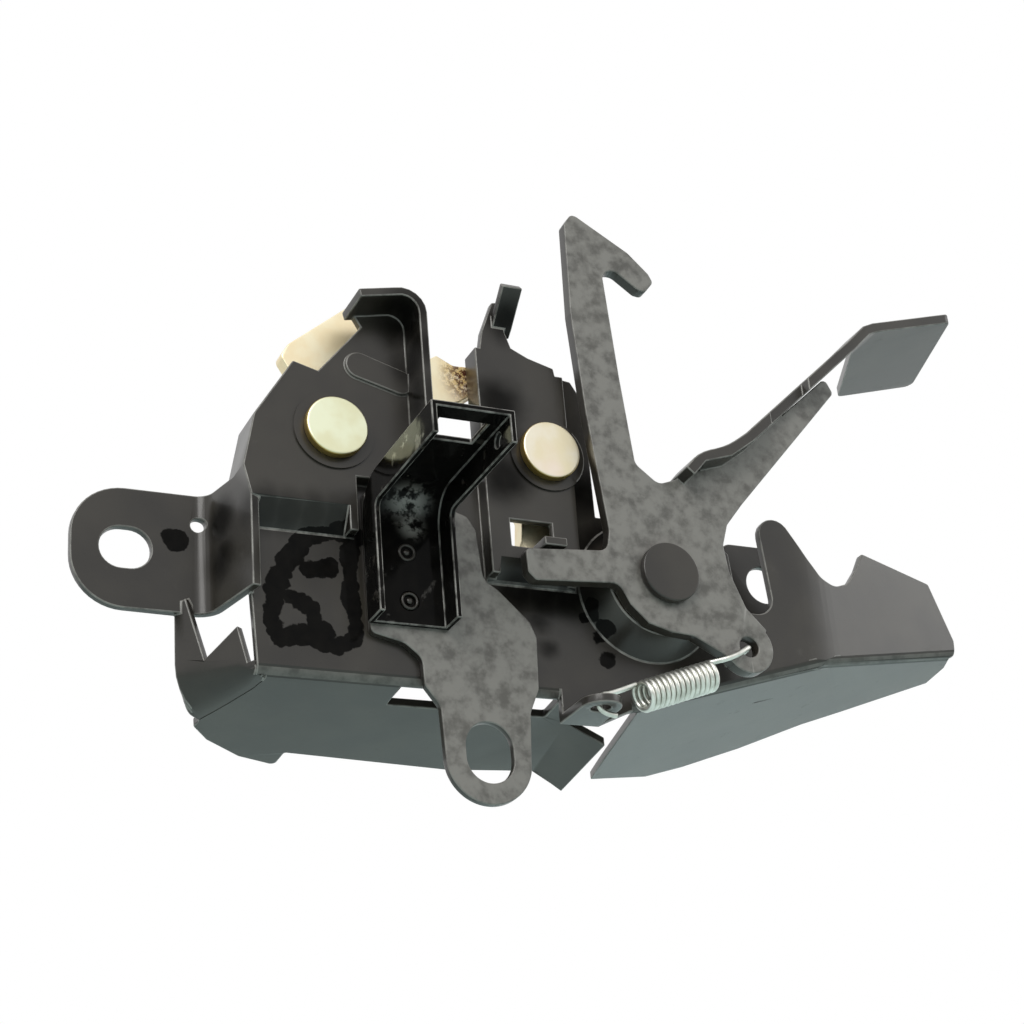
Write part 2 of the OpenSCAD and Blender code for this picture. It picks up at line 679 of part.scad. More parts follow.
module safety_hook() {
    color(black) drawing() translate([hook_axis[0], 0, hook_axis[1]]) difference() {
        union() {
            front(hook_y, hook_t) hook_plate();
            finger_strip();
        }
        bar([0, 0], rivet_r, hook_y - 1, hook_back + 1);
        bar(ear_eye - hook_axis, ear_eye_r, hook_y - 1, hook_back + 1);
        // shallow break in the strip's front edge
        translate([30, finger_y - 1, 40]) cube([12, 4, 14]);
    }
}

// Hook spring: a close coil with a loop through each eye
coil_from = [24.6, -4.8, -43.2];
coil_to = [42.4, -4.8, -36.9];

module hook_spring() {
    r = coil_r - coil_wire / 2;
    axis = unit(coil_to - coil_from);
    up = unit([-axis[2], 0, axis[0]]);
    out = cross(axis, up);
    steps = coil_turns * 12;
    coil = [for (i = [0 : steps]) let (a = 90 + 360 * coil_turns * i / steps)
        coil_from + (coil_to - coil_from) * i / steps + r * (cos(a) * out + sin(a) * up)];
    front_y = hook_y - 0.4 - coil_wire / 2;
    rear_y = hook_back + 0.4 + coil_wire / 2;
    above = anchor[2] + 0.3 + coil_wire / 2;
    below = anchor[2] - sheet_t - 0.3 - coil_wire / 2;
    color(bright) drawing() wire(concat(
        [[anchor[0] + 3.6, anchor[1], below - 0.4], [anchor[0] + 1, anchor[1], below],
         [anchor[0] - 0.4, anchor[1], below + 1.2], [anchor[0] - 0.6, anchor[1], anchor[2]],
         [anchor[0] + 0.6, anchor[1], above + 0.4], [anchor[0] + 3, anchor[1], above + 0.8]],
        coil,
        [[ear_eye[0] - 5, front_y - 0.4, ear_eye[1] - 3.4], [ear_eye[0] - 1, front_y, ear_eye[1] - 0.6],
         [ear_eye[0] - 0.2, front_y + 1.2, ear_eye[1] - 0.3], [ear_eye[0], rear_y - 1, ear_eye[1] - 0.3],
         [ear_eye[0] - 1, rear_y, ear_eye[1] - 1], [ear_eye[0] - 4, rear_y + 0.2, ear_eye[1] - 3]]),
        coil_wire / 2);
}

base_plate();
lower_bracket();
guard_channel();
claw_pin();
claw_collar();
claw_clip();
claw();
claw_spring();
pawl_pin();
pawl_collar();
pawl_clip();
pawl();
pawl_spring();
hook_rivet();
safety_hook();
hook_spring();
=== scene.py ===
"""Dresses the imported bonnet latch: rounded pressings, turned pins, wound springs, finishes and a plain studio."""

import logging
import math
from dataclasses import dataclass
from enum import Enum
from typing import Any, Mapping, Sequence

import bmesh
import bpy
from mathutils import Matrix, Vector


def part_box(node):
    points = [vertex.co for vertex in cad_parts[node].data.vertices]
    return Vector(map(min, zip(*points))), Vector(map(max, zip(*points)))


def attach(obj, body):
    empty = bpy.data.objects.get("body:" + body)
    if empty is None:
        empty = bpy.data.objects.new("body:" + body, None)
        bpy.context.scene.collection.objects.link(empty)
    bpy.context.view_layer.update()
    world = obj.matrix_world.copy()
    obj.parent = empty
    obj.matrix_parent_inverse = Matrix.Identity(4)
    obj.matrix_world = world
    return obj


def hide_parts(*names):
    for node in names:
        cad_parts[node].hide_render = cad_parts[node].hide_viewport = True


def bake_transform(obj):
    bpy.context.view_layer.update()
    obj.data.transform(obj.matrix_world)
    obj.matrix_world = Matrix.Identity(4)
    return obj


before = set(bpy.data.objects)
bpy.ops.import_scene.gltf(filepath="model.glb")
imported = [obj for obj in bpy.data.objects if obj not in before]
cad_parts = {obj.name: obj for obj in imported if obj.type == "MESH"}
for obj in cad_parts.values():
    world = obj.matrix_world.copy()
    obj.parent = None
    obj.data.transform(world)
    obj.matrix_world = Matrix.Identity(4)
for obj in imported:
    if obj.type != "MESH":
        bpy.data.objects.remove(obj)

LOG = logging.getLogger("bonnet_latch")
MM = 0.001
DATUM = Vector((75.0, 20.0, -2.0))
Colour = tuple[float, float, float]
Spots = tuple[tuple[float, float, float, float], ...]

# The mesh layers that the pressings fill, one of them with the painted highlight of edges and folds, and the weight
# of a face whose normals lead.
EDGE_HIGHLIGHT = "edge_wear"
FACE_STRENGTH = "__mod_weightednormals_faceweight"
STRONG = 16384

# Sockets of the Mix node when it mixes colours.
MIX_COLOURS = (6, 7)
MIX_RESULT = 2

# Edges sharper than these stay sharp or count as a plate's rim.
RIM_DEG = 60.0
LATHE_SHARP_DEG = 38.0

# How near a flat side's points lie to its plane, how much a new fill's area may differ, and what counts as a side.
SIDE_SLACK_MM = 0.002
FILL_SLACK = 0.005
SIDE_FACING = 0.999

# The facets of the bottom folds, which get part of the painted highlight: longer, narrower and facing further forward
# and down than these.
FOLD_LONG_MM = 14.0
FOLD_WIDE_MM = 0.9
FOLD_FACING = -0.42

# Pins, wire and weld marks.
SHANK_MM = 3.95
WIRE_SIDES = 12
BEAD_SCALE = (0.42, 0.42, 0.22)
RING_POINTS = 36
BEAD_POINTS = 10
BEAD_BANDS = (20, 12)

# Where the dip paint ran and gathered, painted near black as shade and dark reflection; where shade alone is painted
# on, at full and at part strength; and where the guard is rubbed: points and radii in millimetres of the drawing.
PANEL_Y = 4.0
SHADED_PAINT_RUNS = (
    (
        (-35.2, -8.1), (-41.2, -8.4), (-47.1, -10.5), (-51.5, -16.1), (-53.7, -22.9), (-55.0, -28.9), (-53.0, -32.6),
        (-45.9, -32.5), (-41.4, -34.1), (-38.0, -31.7), (-36.5, -28.2), (-37.5, -21.9), (-37.6, -15.2), (-36.7, -9.3),
    ),
    ((-51.5, -24.0), (-45.7, -26.6), (-44.7, -29.9), (-40.8, -30.9)),
    ((-46.7, -17.4), (-40.2, -16.4)),
    ((-40.6, -6.4), (-36.0, -5.4)),
)
# Gathered paint on the boss and the ear, painted near black as shade and dark reflection.
BOSS_SHADED_POOLS = ((21.2, 2.0, -25.7, 4.0), (18.0, 2.0, -20.8, 4.0), (22.3, 2.0, -31.0, 4.0), (-71.1, 18.0, -7.0, 4.0))
# Painted shade: near-black spots on the towers, the lip, the ledges and the gaps beside the guard and the bracket.
BASE_SHADES = (
    (-1.0, 0.0, 27.0, 8.0), (-2.4, 0.0, 18.0, 8.0), (-1.0, 0.0, 8.0, 8.0), (-24.0, -5.0, 43.0, 9.0),
    (-20.0, -5.0, 33.0, 9.0), (-19.0, -5.0, 22.0, 9.0), (1.8, 3.0, -17.3, 7.0), (8.0, 3.0, -17.1, 7.0),
    (14.0, 3.0, -17.4, 7.0), (20.1, 3.0, -17.8, 6.0), (21.8, 6.0, 8.5, 8.0), (22.4, 6.0, -2.7, 7.0),
    (-61.9, 12.0, -3.9, 6.0), (-64.2, 12.0, -13.5, 6.0), (-31.0, 2.0, -4.0, 6.0), (7.4, 6.0, -24.0, 3.5),
    (8.0, 6.0, -30.0, 3.5), (2.0, -3.0, 48.0, 7.0),
)
# Painted shade at part strength on the ledge under the left tower, whose reflection is dark.
LEDGE_SHADES = ((-57.0, 2.0, -5.4, 6.0), (-51.5, 2.0, -5.4, 6.0), (-46.0, 2.0, -5.4, 6.0), (-40.5, 2.0, -5.4, 6.0))
GUARD_SCUFFS = ((-25.0, 0.0, 0.0, 6.5), (-25.0, -3.0, 6.0, 5.0), (-24.0, 1.0, -6.0, 4.0))


def along(line: Sequence[tuple[float, float]], radius: float = 3.1, step: float = 2.6) -> Spots:
    """Sets spots along a line on the panel.

    Args:
        line: Corners of the line, across and up, in millimetres of the drawing.
        radius: Radius of each spot.
        step: Greatest distance between spots.

    Returns:
        The spots.
    """
    spots = []
    for (x0, z0), (x1, z1) in zip(line, line[1:]):
        count = max(1, math.ceil(math.hypot(x1 - x0, z1 - z0) / step))
        for k in range(count):
            spots.append((x0 + (x1 - x0) * k / count, PANEL_Y, z0 + (z1 - z0) * k / count, radius))
    return tuple(spots)


class Body(Enum):
    """The rigid bodies of the latch."""

    BASE = "base"
    CLAW = "claw"
    PAWL = "pawl"
    HOOK = "hook"


class Slot(Enum):
    """The record's material slots."""

    PAINT = "black_paint"
    ZINC = "yellow_zinc"
    WIRE = "spring_steel"


def place(x: float, y: float, z: float) -> Vector:
    """Turns a point of the drawing into the shared frame.

    Args:
        x: Millimetres to the right of the drawing's datum.
        y: Millimetres to the rear of the tower faces.
        z: Millimetres up.

    Returns:
        The point in metres in the shared frame.
    """
    return (Vector((x, y, z)) - DATUM) * MM


class Val:
    """A number in a shader, with arithmetic that adds Math nodes."""

    def __init__(self, shader: "Shader", socket: bpy.types.NodeSocket) -> None:
        """Wraps an output socket.

        Args:
            shader: The tree that the socket is in.
            socket: The socket.
        """
        self.shader = shader
        self.socket = socket

    def math(self, operation: str, *others: Any, first: Any = None) -> "Val":
        """Adds one Math node.

        Args:
            operation: The node's operation.
            others: The operands that follow this value.
            first: An operand that comes before this value, if any.

        Returns:
            The node's result.
        """
        operands = [self, *others] if first is None else [first, self]
        node = self.shader.node("ShaderNodeMath", {"operation": operation}, dict(enumerate(operands)))
        return Val(self.shader, node.outputs[0])

    def __add__(self, other: Any) -> "Val":
        """Sum.

        Args:
            other: A number or another value.

        Returns:
            The sum of this value and the other.
        """
        return self.math("ADD", other)

    def __radd__(self, other: Any) -> "Val":
        """Sum with a number in front.

        Args:
            other: A number or another value.

        Returns:
            The sum of the other and this value.
        """
        return self.math("ADD", first=other)

    def __sub__(self, other: Any) -> "Val":
        """Difference.

        Args:
            other: A number or another value.

        Returns:
            This value less the other.
        """
        return self.math("SUBTRACT", other)

    def __rsub__(self, other: Any) -> "Val":
        """Difference from a number.

        Args:
            other: A number or another value.

        Returns:
            The other less this value.
        """
        return self.math("SUBTRACT", first=other)

    def __mul__(self, other: Any) -> "Val":
        """Product.

        Args:
            other: A number or another value.

        Returns:
            The product of this value and the other.
        """
        return self.math("MULTIPLY", other)

    def __rmul__(self, other: Any) -> "Val":
        """Product with a number in front.

        Args:
            other: A number or another value.

        Returns:
            The product of the other and this value.
        """
        return self.math("MULTIPLY", first=other)

    def between(self, low: float, high: float) -> "Val":
        """Ramps smoothly from 0 at low to 1 at high.

        Args:
            low: The value that gives 0.
            high: The value that gives 1.

        Returns:
            The ramped value.
        """
        node = self.shader.node(
            "ShaderNodeMapRange",
            {"interpolation_type": "SMOOTHSTEP"},
            {"Value": self, "From Min": low, "From Max": high},
        )
        return Val(self.shader, node.outputs["Result"])


class Shader:
    """A node tree under construction."""

    def __init__(self, tree: bpy.types.NodeTree) -> None:
        """Starts from an empty tree.

        Args:
            tree: The tree, which is cleared.
        """
        self.tree = tree
        tree.nodes.clear()

    def node(
        self, kind: str, settings: Mapping[str, Any] | None = None, inputs: Mapping[Any, Any] | None = None
    ) -> bpy.types.Node:
        """Adds a node.

        Args:
            kind: The node's type.
            settings: Properties to set first; "stops" holds a colour ramp's positions and colours.
            inputs: Values, sockets or Vals by socket name or index.

        Returns:
            The new node.
        """
        made = self.tree.nodes.new(kind)
        for key, value in (settings or {}).items():
            if key == "stops":
                ramp = made.color_ramp
                while len(ramp.elements) < len(value):
                    ramp.elements.new(1.0)
                for element, (position, colour) in zip(ramp.elements, value):
                    element.position = position
                    element.color = (*colour, 1.0)
            else:
                setattr(made, key, value)
        for key, value in (inputs or {}).items():
            socket = made.inputs[key]
            if isinstance(value, (Val, bpy.types.NodeSocket)):
                self.tree.links.new(value.socket if isinstance(value, Val) else value, socket)
            elif isinstance(value, tuple) and len(value) == 3 and socket.type == "RGBA":
                socket.default_value = (*value, 1.0)
            else:
                socket.default_value = value
        return made

    def place_on_part(self) -> bpy.types.NodeSocket:
        """Reads where the surface is.

        Returns:
            The point on the surface in the part's own frame, in metres.
        """
        return self.node("ShaderNodeTexCoord").outputs["Object"]

    def rearward(self) -> Val:
        """Reads how far the surface faces the rear.

        Returns:
            1 where it faces the rear and -1 where it faces the front.
        """
        normal = self.node("ShaderNodeTexCoord").outputs["Normal"]
        return Val(self, self.node("ShaderNodeSeparateXYZ", None, {0: normal}).outputs["Y"])

    def away(self, point: bpy.types.NodeSocket, spot: Vector) -> Val:
        """Measures the way to a spot.

        Args:
            point: The point on the part.
            spot: The spot in the part's own frame.

        Returns:
            The distance in metres.
        """
        made = self.node("ShaderNodeVectorMath", {"operation": "DISTANCE"}, {0: point, 1: tuple(spot)})
        return Val(self, made.outputs["Value"])

    def shift(self, point: bpy.types.NodeSocket, by: float) -> bpy.types.NodeSocket:
        """Moves a point by the same length along every axis.

        Args:
            point: The point.
            by: The length in metres.

        Returns:
            The moved point.
        """
        return self.node("ShaderNodeVectorMath", {"operation": "ADD"}, {0: point, 1: (by, by, by)}).outputs[0]

    def noise(self, point: bpy.types.NodeSocket, scale: float, detail: float = 2.0, rough: float = 0.5) -> Val:
        """Soft noise over the surface.

        Args:
            point: Where to read it.
            scale: Patches per metre.
            detail: Octaves.
            rough: How strong the finer octaves are.

        Returns:
            The noise, about 0 to 1.
        """
        made = self.node(
            "ShaderNodeTexNoise", None, {"Vector": point, "Scale": scale, "Detail": detail, "Roughness": rough}
        )
        return Val(self, made.outputs["Fac"])

    def mix(self, factor: Any, first: Any, second: Any) -> bpy.types.NodeSocket:
        """Mixes two colours.

        Args:
            factor: Share of the second.
            first: A colour or its socket.
            second: A colour or its socket.

        Returns:
            The mixed colour's socket.
        """
        inputs = {0: factor, MIX_COLOURS[0]: first, MIX_COLOURS[1]: second}
        return self.node("ShaderNodeMix", {"data_type": "RGBA"}, inputs).outputs[MIX_RESULT]

    def bump(self, height_mm: Val) -> bpy.types.NodeSocket:
        """Bends the normal.

        Args:
            height_mm: Height of the surface in millimetres.

        Returns:
            The bent normal.
        """
        made = self.node("ShaderNodeBump", None, {"Height": height_mm, "Strength": 1.0, "Distance": MM})
        return made.outputs["Normal"]

    def finish(self, inputs: Mapping[str, Any]) -> None:
        """Ends the tree in one Principled surface.

        Args:
            inputs: The surface's sockets.
        """
        surface = self.node("ShaderNodeBsdfPrincipled", None, inputs)
        self.node("ShaderNodeOutputMaterial", None, {"Surface": surface.outputs[0]})


def new_material(name: str) -> tuple[bpy.types.Material, Shader]:
    """Makes an empty material.

    Args:
        name: Its name.

    Returns:
        The material and the builder of its tree.
    """
    material = bpy.data.materials.new(name)
    material.use_nodes = True
    return material, Shader(material.node_tree)


@dataclass(frozen=True)
class BlackPaint:
    """Glossy black dip paint on pressed sheet, with fine grain, orange peel and slow waves; runs of gathered paint
    and spots in shade are painted near black as shade and dark reflection, and rounded edges and folds are painted
    lighter as a highlight.
    """

    name: str = "black_dip_paint"
    colour: Colour = (0.017, 0.0145, 0.012)
    warm: Colour = (0.028, 0.024, 0.019)
    # Near-black colour of the runs and the shade spots: painted shade.
    pooled_shade: Colour = (0.0016, 0.0017, 0.0019)
    # Light colour of the rounded edges and folds, a painted highlight; the guard's scuffs take it too.
    edge: Colour = (0.20, 0.19, 0.175)
    # Colour mixed into the scuffed grain; the fold highlight takes the edge colour.
    dust_and_fold_highlight: Colour = (0.075, 0.068, 0.058)
    roughness: float = 0.26
    wave_mm: float = 0.04
    peel_mm: float = 0.008
    grain_mm: float = 0.0022
    warp_mm: float = 4.0
    shaded_pools: Spots = ()
    shades: Spots = ()
    dimmed: Spots = ()
    scuffs: Spots = ()
    # Level of painted shade over the whole surface before the spots are added; the guard uses it for its dark inner
    # web.
    pool_and_shade_level: float = 0.0
    wave_scale: float = 70.0
    peel_scale: float = 430.0
    grain_scale: float = 5200.0
    scuff_scale: float = 160.0
    highlight_patch_scale: float = 260.0
    rub_scale: float = 420.0
    drift_scale: float = 110.0
    ragged_scale: float = 170.0
    shade_depth: float = 0.92
    dim_depth: float = 0.6

    @staticmethod
    def nearest(s: Shader, point: bpy.types.NodeSocket, spots: Spots, start: float) -> Val | float:
        """How near the point is to any of some spots.

        Args:
            s: The tree.
            point: The point on the part.
            spots: Centre and radius of each spot, in millimetres of the drawing.
            start: The least result.

        Returns:
            1 at a spot's centre, falling to the least result outside them all.
        """
        total: Val | float = start
        for x, y, z, radius in spots:
            near = 1.0 - s.away(point, place(x, y, z)).between(0.25 * radius * MM, 1.2 * radius * MM)
            total = near.math("MAXIMUM", total)
        return total

    def pool_and_shade_mask(self, s: Shader, point: bpy.types.NodeSocket) -> Val:
        """Where the paint ran together and dried to a deep gloss, and where shade is painted on; both are painted
        near black as shade and dark reflection.

        Args:
            s: The tree.
            point: The point on the part.

        Returns:
            1 in the runs and the painted shade, 0 elsewhere and at the rear: ragged in the runs' spots and soft in
            the shade spots.
        """
        reach = self.warp_mm * MM
        drift = s.node("ShaderNodeTexNoise", None, {"Vector": point, "Scale": self.drift_scale, "Detail": 3.0})
        moved = s.node(
            "ShaderNodeVectorMath",
            {"operation": "MULTIPLY_ADD"},
            {0: drift.outputs["Color"], 1: (reach, reach, reach), 2: s.shift(point, -reach / 2)},
        ).outputs[0]
        ragged = s.noise(moved, self.ragged_scale, 4.0, 0.6)
        pool_and_shade = ((ragged - 0.5) * 1.7 + self.nearest(s, moved, self.shaded_pools, self.pool_and_shade_level)).between(0.46, 0.60)
        if self.shades:
            pool_and_shade = pool_and_shade.math("MAXIMUM", self.nearest(s, moved, self.shades, 0.0) * self.shade_depth)
            pool_and_shade = pool_and_shade.math("MAXIMUM", self.nearest(s, moved, self.dimmed, 0.0) * self.dim_depth)
            # The painted shade is kept to faces that face the front.
            pool_and_shade = pool_and_shade * (1.0 - s.rearward().between(0.2, 0.6))
        return pool_and_shade

    def make(self) -> bpy.types.Material:
        """Builds the material.

        Returns:
            The material.
        """
        material, s = new_material(self.name)
        point = s.place_on_part()
        wave = s.noise(point, self.wave_scale, 2.0)
        peel = s.noise(point, self.peel_scale, 2.0)
        grain = s.noise(point, self.grain_scale, 1.0)
        scuff = s.noise(point, self.scuff_scale, 6.0, 0.7).between(0.60, 0.74)
        # Painted highlight on the rounded edges and folds, broken into patches; the guard's rubbed scuffs are added
        # to it.
        edge = Val(s, s.node("ShaderNodeAttribute", {"attribute_name": EDGE_HIGHLIGHT}).outputs["Fac"])
        highlight_and_scuffs = edge * (0.35 + 0.65 * s.noise(point, self.highlight_patch_scale, 4.0, 0.6).between(0.30, 0.62))
        if self.scuffs:
            patchy = s.noise(point, self.rub_scale, 4.0, 0.65).between(0.40, 0.56)
            highlight_and_scuffs = highlight_and_scuffs.math("MAXIMUM", self.nearest(s, point, self.scuffs, 0.0) * patchy)
        # Painted shade and dark reflection: the runs and the shade spots take a near-black, weakly reflecting gloss.
        pool_and_shade = self.pool_and_shade_mask(s, point) * (1.0 - highlight_and_scuffs)
        colour = s.mix(wave.between(0.3, 0.7), self.colour, self.warm)
        dusty_and_highlit = s.mix(scuff * grain * 0.35, colour, self.dust_and_fold_highlight)
        # Painted highlight: the edges and folds are mixed towards the light edge colour.
        dusty_and_highlit = s.mix(highlight_and_scuffs * 0.85, dusty_and_highlit, self.edge)
        normal = s.bump(wave * self.wave_mm + peel * self.peel_mm + grain * self.grain_mm)
        satin = s.node(
            "ShaderNodeBsdfPrincipled",
            None,
            {"Base Color": dusty_and_highlit, "Roughness": self.roughness + scuff * 0.12 + grain * 0.06, "Normal": normal},
        )
        smooth = s.bump(wave * 4.0 * self.wave_mm + peel * 3.0 * self.peel_mm)
        # The near-black gloss that paints the shade: a dark base and a weak reflection.
        deep = s.node(
            "ShaderNodeBsdfPrincipled",
            None,
            {
                "Base Color": s.mix(peel * 0.4, self.pooled_shade, self.colour),
                "Roughness": 0.07 + peel * 0.06,
                "Specular IOR Level": 0.05,
                "Normal": smooth,
            },
        )
        both = s.node("ShaderNodeMixShader", None, {0: pool_and_shade, 1: satin.outputs[0], 2: deep.outputs[0]})
        s.node("ShaderNodeOutputMaterial", None, {"Surface": both.outputs[0]})
        return material


@dataclass(frozen=True)
class YellowZinc:
    """Pale yellow passivated zinc with faint rainbow patches, and stains round one worn spot; on the pins, the sides
    of the head are painted darker brass as shade.
    """

    name: str
    pale: Colour = (0.88, 0.79, 0.57)
    gold: Colour = (0.84, 0.71, 0.47)
    rose: Colour = (0.86, 0.70, 0.57)
    # Darker brass of the pin heads' sides: painted shade.
    rim: Colour = (0.42, 0.29, 0.08)
    stain: Colour = (0.10, 0.030, 0.016)
    ochre: Colour = (0.66, 0.43, 0.09)
    spot: Vector | None = None
    reach: float = 0.010
    shaded_rim: bool = False
    cloud_scale: float = 150.0
    drift_scale: float = 60.0
    grain_scale: float = 2600.0
    speck_scale: float = 700.0
    stain_scale: float = 520.0

    def make(self) -> bpy.types.Material:
        """Builds the material.

        Returns:
            The material.
        """
        material, s = new_material(self.name)
        point = s.place_on_part()
        cloud = s.noise(point, self.cloud_scale, 3.0)
        drift = s.noise(point, self.drift_scale, 2.0)
        grain = s.noise(point, self.grain_scale, 2.0)
        colour = s.mix(cloud.between(0.35, 0.65), self.pale, self.gold)
        colour = s.mix(drift.between(0.52, 0.72) * 0.6, colour, self.rose)
        roughness = 0.34 + grain * 0.12
        # Painted shade: faces turned away from the front and rear take the darker brass.
        if self.shaded_rim:
            side = 1.0 - s.rearward().math("ABSOLUTE").between(0.55, 0.97)
            colour = s.mix(side, colour, self.rim)
        if self.spot is not None:
            near = 1.0 - s.away(point, self.spot).between(0.35 * self.reach, self.reach)
            speck = s.noise(point, self.speck_scale, 5.0, 0.75).between(0.42, 0.52)
            blot = s.noise(point, self.stain_scale, 4.0, 0.8).between(0.44, 0.53)
            colour = s.mix(near * speck * 0.7, colour, self.ochre)
            colour = s.mix(near * blot, colour, self.stain)
            roughness = roughness + near * 0.2
        s.finish(
            {
                "Base Color": colour,
                "Metallic": 0.85,
                "Roughness": roughness,
                "Normal": s.bump(grain * 0.002 + cloud * 0.008),
            }
        )
        return material


@dataclass(frozen=True)
class SpringWire:
    """Bright plated spring wire with drawn streaks."""

    name: str = "plated_spring_wire"
    bright: Colour = (0.74, 0.74, 0.69)
    dull: Colour = (0.54, 0.54, 0.49)
    cloud_scale: float = 420.0
    grain_scale: float = 5200.0

    def make(self) -> bpy.types.Material:
        """Builds the material.

        Returns:
            The material.
        """
        material, s = new_material(self.name)
        point = s.place_on_part()
        cloud = s.noise(point, self.cloud_scale, 3.0)
        grain = s.noise(point, self.grain_scale, 1.0)
        s.finish(
            {
                "Base Color": s.mix(cloud.between(0.35, 0.7), self.bright, self.dull),
                "Metallic": 0.9,
                "Roughness": 0.24 + grain * 0.12,
                "Normal": s.bump(grain * 0.002),
            }
        )
        return material


@dataclass(frozen=True)
class Finishes:
    """The latch's finishes, made once."""

    paint: bpy.types.Material
    guard_paint: bpy.types.Material
    hook_paint: bpy.types.Material
    zinc: bpy.types.Material
    worn_zinc: bpy.types.Material
    claw_pin: bpy.types.Material
    pawl_pin: bpy.types.Material
    wire: bpy.types.Material

    @classmethod
    def make(cls) -> "Finishes":
        """Builds every material.

        Returns:
            The finishes.
        """
        return cls(
            paint=BlackPaint(
                shaded_pools=sum((along(run) for run in SHADED_PAINT_RUNS), BOSS_SHADED_POOLS), shades=BASE_SHADES, dimmed=LEDGE_SHADES
            ).make(),
            # The guard is painted mostly near black: painted shade on its inner web.
            guard_paint=BlackPaint("guard_dip_paint", pool_and_shade_level=0.78, scuffs=GUARD_SCUFFS).make(),
            hook_paint=BlackPaint("hook_dip_paint", wave_mm=0.02).make(),
            zinc=YellowZinc("yellow_zinc_plate").make(),
            worn_zinc=YellowZinc("yellow_zinc_worn_nose", spot=place(-3.6, 8.5, 37.0)).make(),
            claw_pin=YellowZinc(
                "yellow_zinc_claw_pin", (0.76, 0.78, 0.58), (0.70, 0.69, 0.47), (0.76, 0.72, 0.55), shaded_rim=True
            ).make(),
            pawl_pin=YellowZinc(
                "yellow_zinc_pawl_pin", (0.78, 0.72, 0.59), (0.74, 0.66, 0.47), (0.80, 0.66, 0.58), shaded_rim=True
            ).make(),
            wire=SpringWire().make(),
        )


def add_object(name: str, data: bpy.types.ID) -> bpy.types.Object:
    """Links a mesh, a lamp or a camera into the scene at the origin.

    Args:
        name: The object's name.
        data: Its mesh, lamp or camera.

    Returns:
        The new object.
    """
    made = bpy.data.objects.new(name, data)
    bpy.context.scene.collection.objects.link(made)
    return made


def to_object(name: str, shape: bmesh.types.BMesh) -> bpy.types.Object:
    """Turns a finished shape into an object and frees the shape.

    Args:
        name: The object's name.
        shape: The shape.

    Returns:
        The new object.
    """
    mesh = bpy.data.meshes.new(name)
    shape.to_mesh(mesh)
    shape.free()
    return add_object(name, mesh)


def bake_modifiers(made: bpy.types.Object) -> bpy.types.Object:
    """Turns an object's modifiers into a plain mesh.

    Args:
        made: The object.

    Returns:
        The same object without modifiers.
    """
    bpy.context.view_layer.update()
    graph = bpy.context.evaluated_depsgraph_get()
    mesh = bpy.data.meshes.new_from_object(made.evaluated_get(graph), depsgraph=graph)
    mesh.name = made.name
    made.modifiers.clear()
    made.data = mesh
    return made


def dress(
    piece: bpy.types.Object, material: bpy.types.Material, body: Body | None, nodes: Sequence[str] = ()
) -> bpy.types.Object:
    """Gives a finished piece its material and body, and hides the solids that it stands for.

    Args:
        piece: The piece.
        material: Its finish.
        body: The body that it rides on, or None to leave it on no body.
        nodes: The solids that it replaces.

    Returns:
        The piece.
    """
    piece.data.materials.clear()
    piece.data.materials.append(material)
    if body is not None:
        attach(piece, body.value)
    if nodes:
        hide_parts(*nodes)
    LOG.info("%s: %d faces", piece.name, len(piece.data.polygons))
    return piece


def flat_regions(shape: bmesh.types.BMesh, limit: float) -> dict[int, list[Vector]]:
    """Groups the triangles of each flat face.

    Args:
        shape: The mesh.
        limit: Largest angle in radians between triangles of one flat face.

    Returns:
        For each triangle's index, the corners of the flat face that it belongs to.
    """
    found: dict[int, list[Vector]] = {}
    for start in shape.faces:
        if start.index in found:
            continue
        points: list[Vector] = []
        found[start.index] = points
        queue = [start]
        while queue:
            face = queue.pop()
            points.extend(vert.co for vert in face.verts)
            for edge in face.edges:
                if len(edge.link_faces) == 2 and edge.calc_face_angle(math.pi) < limit:
                    for other in edge.link_faces:
                        if other.index not in found:
                            found[other.index] = points
                            queue.append(other)
    return found


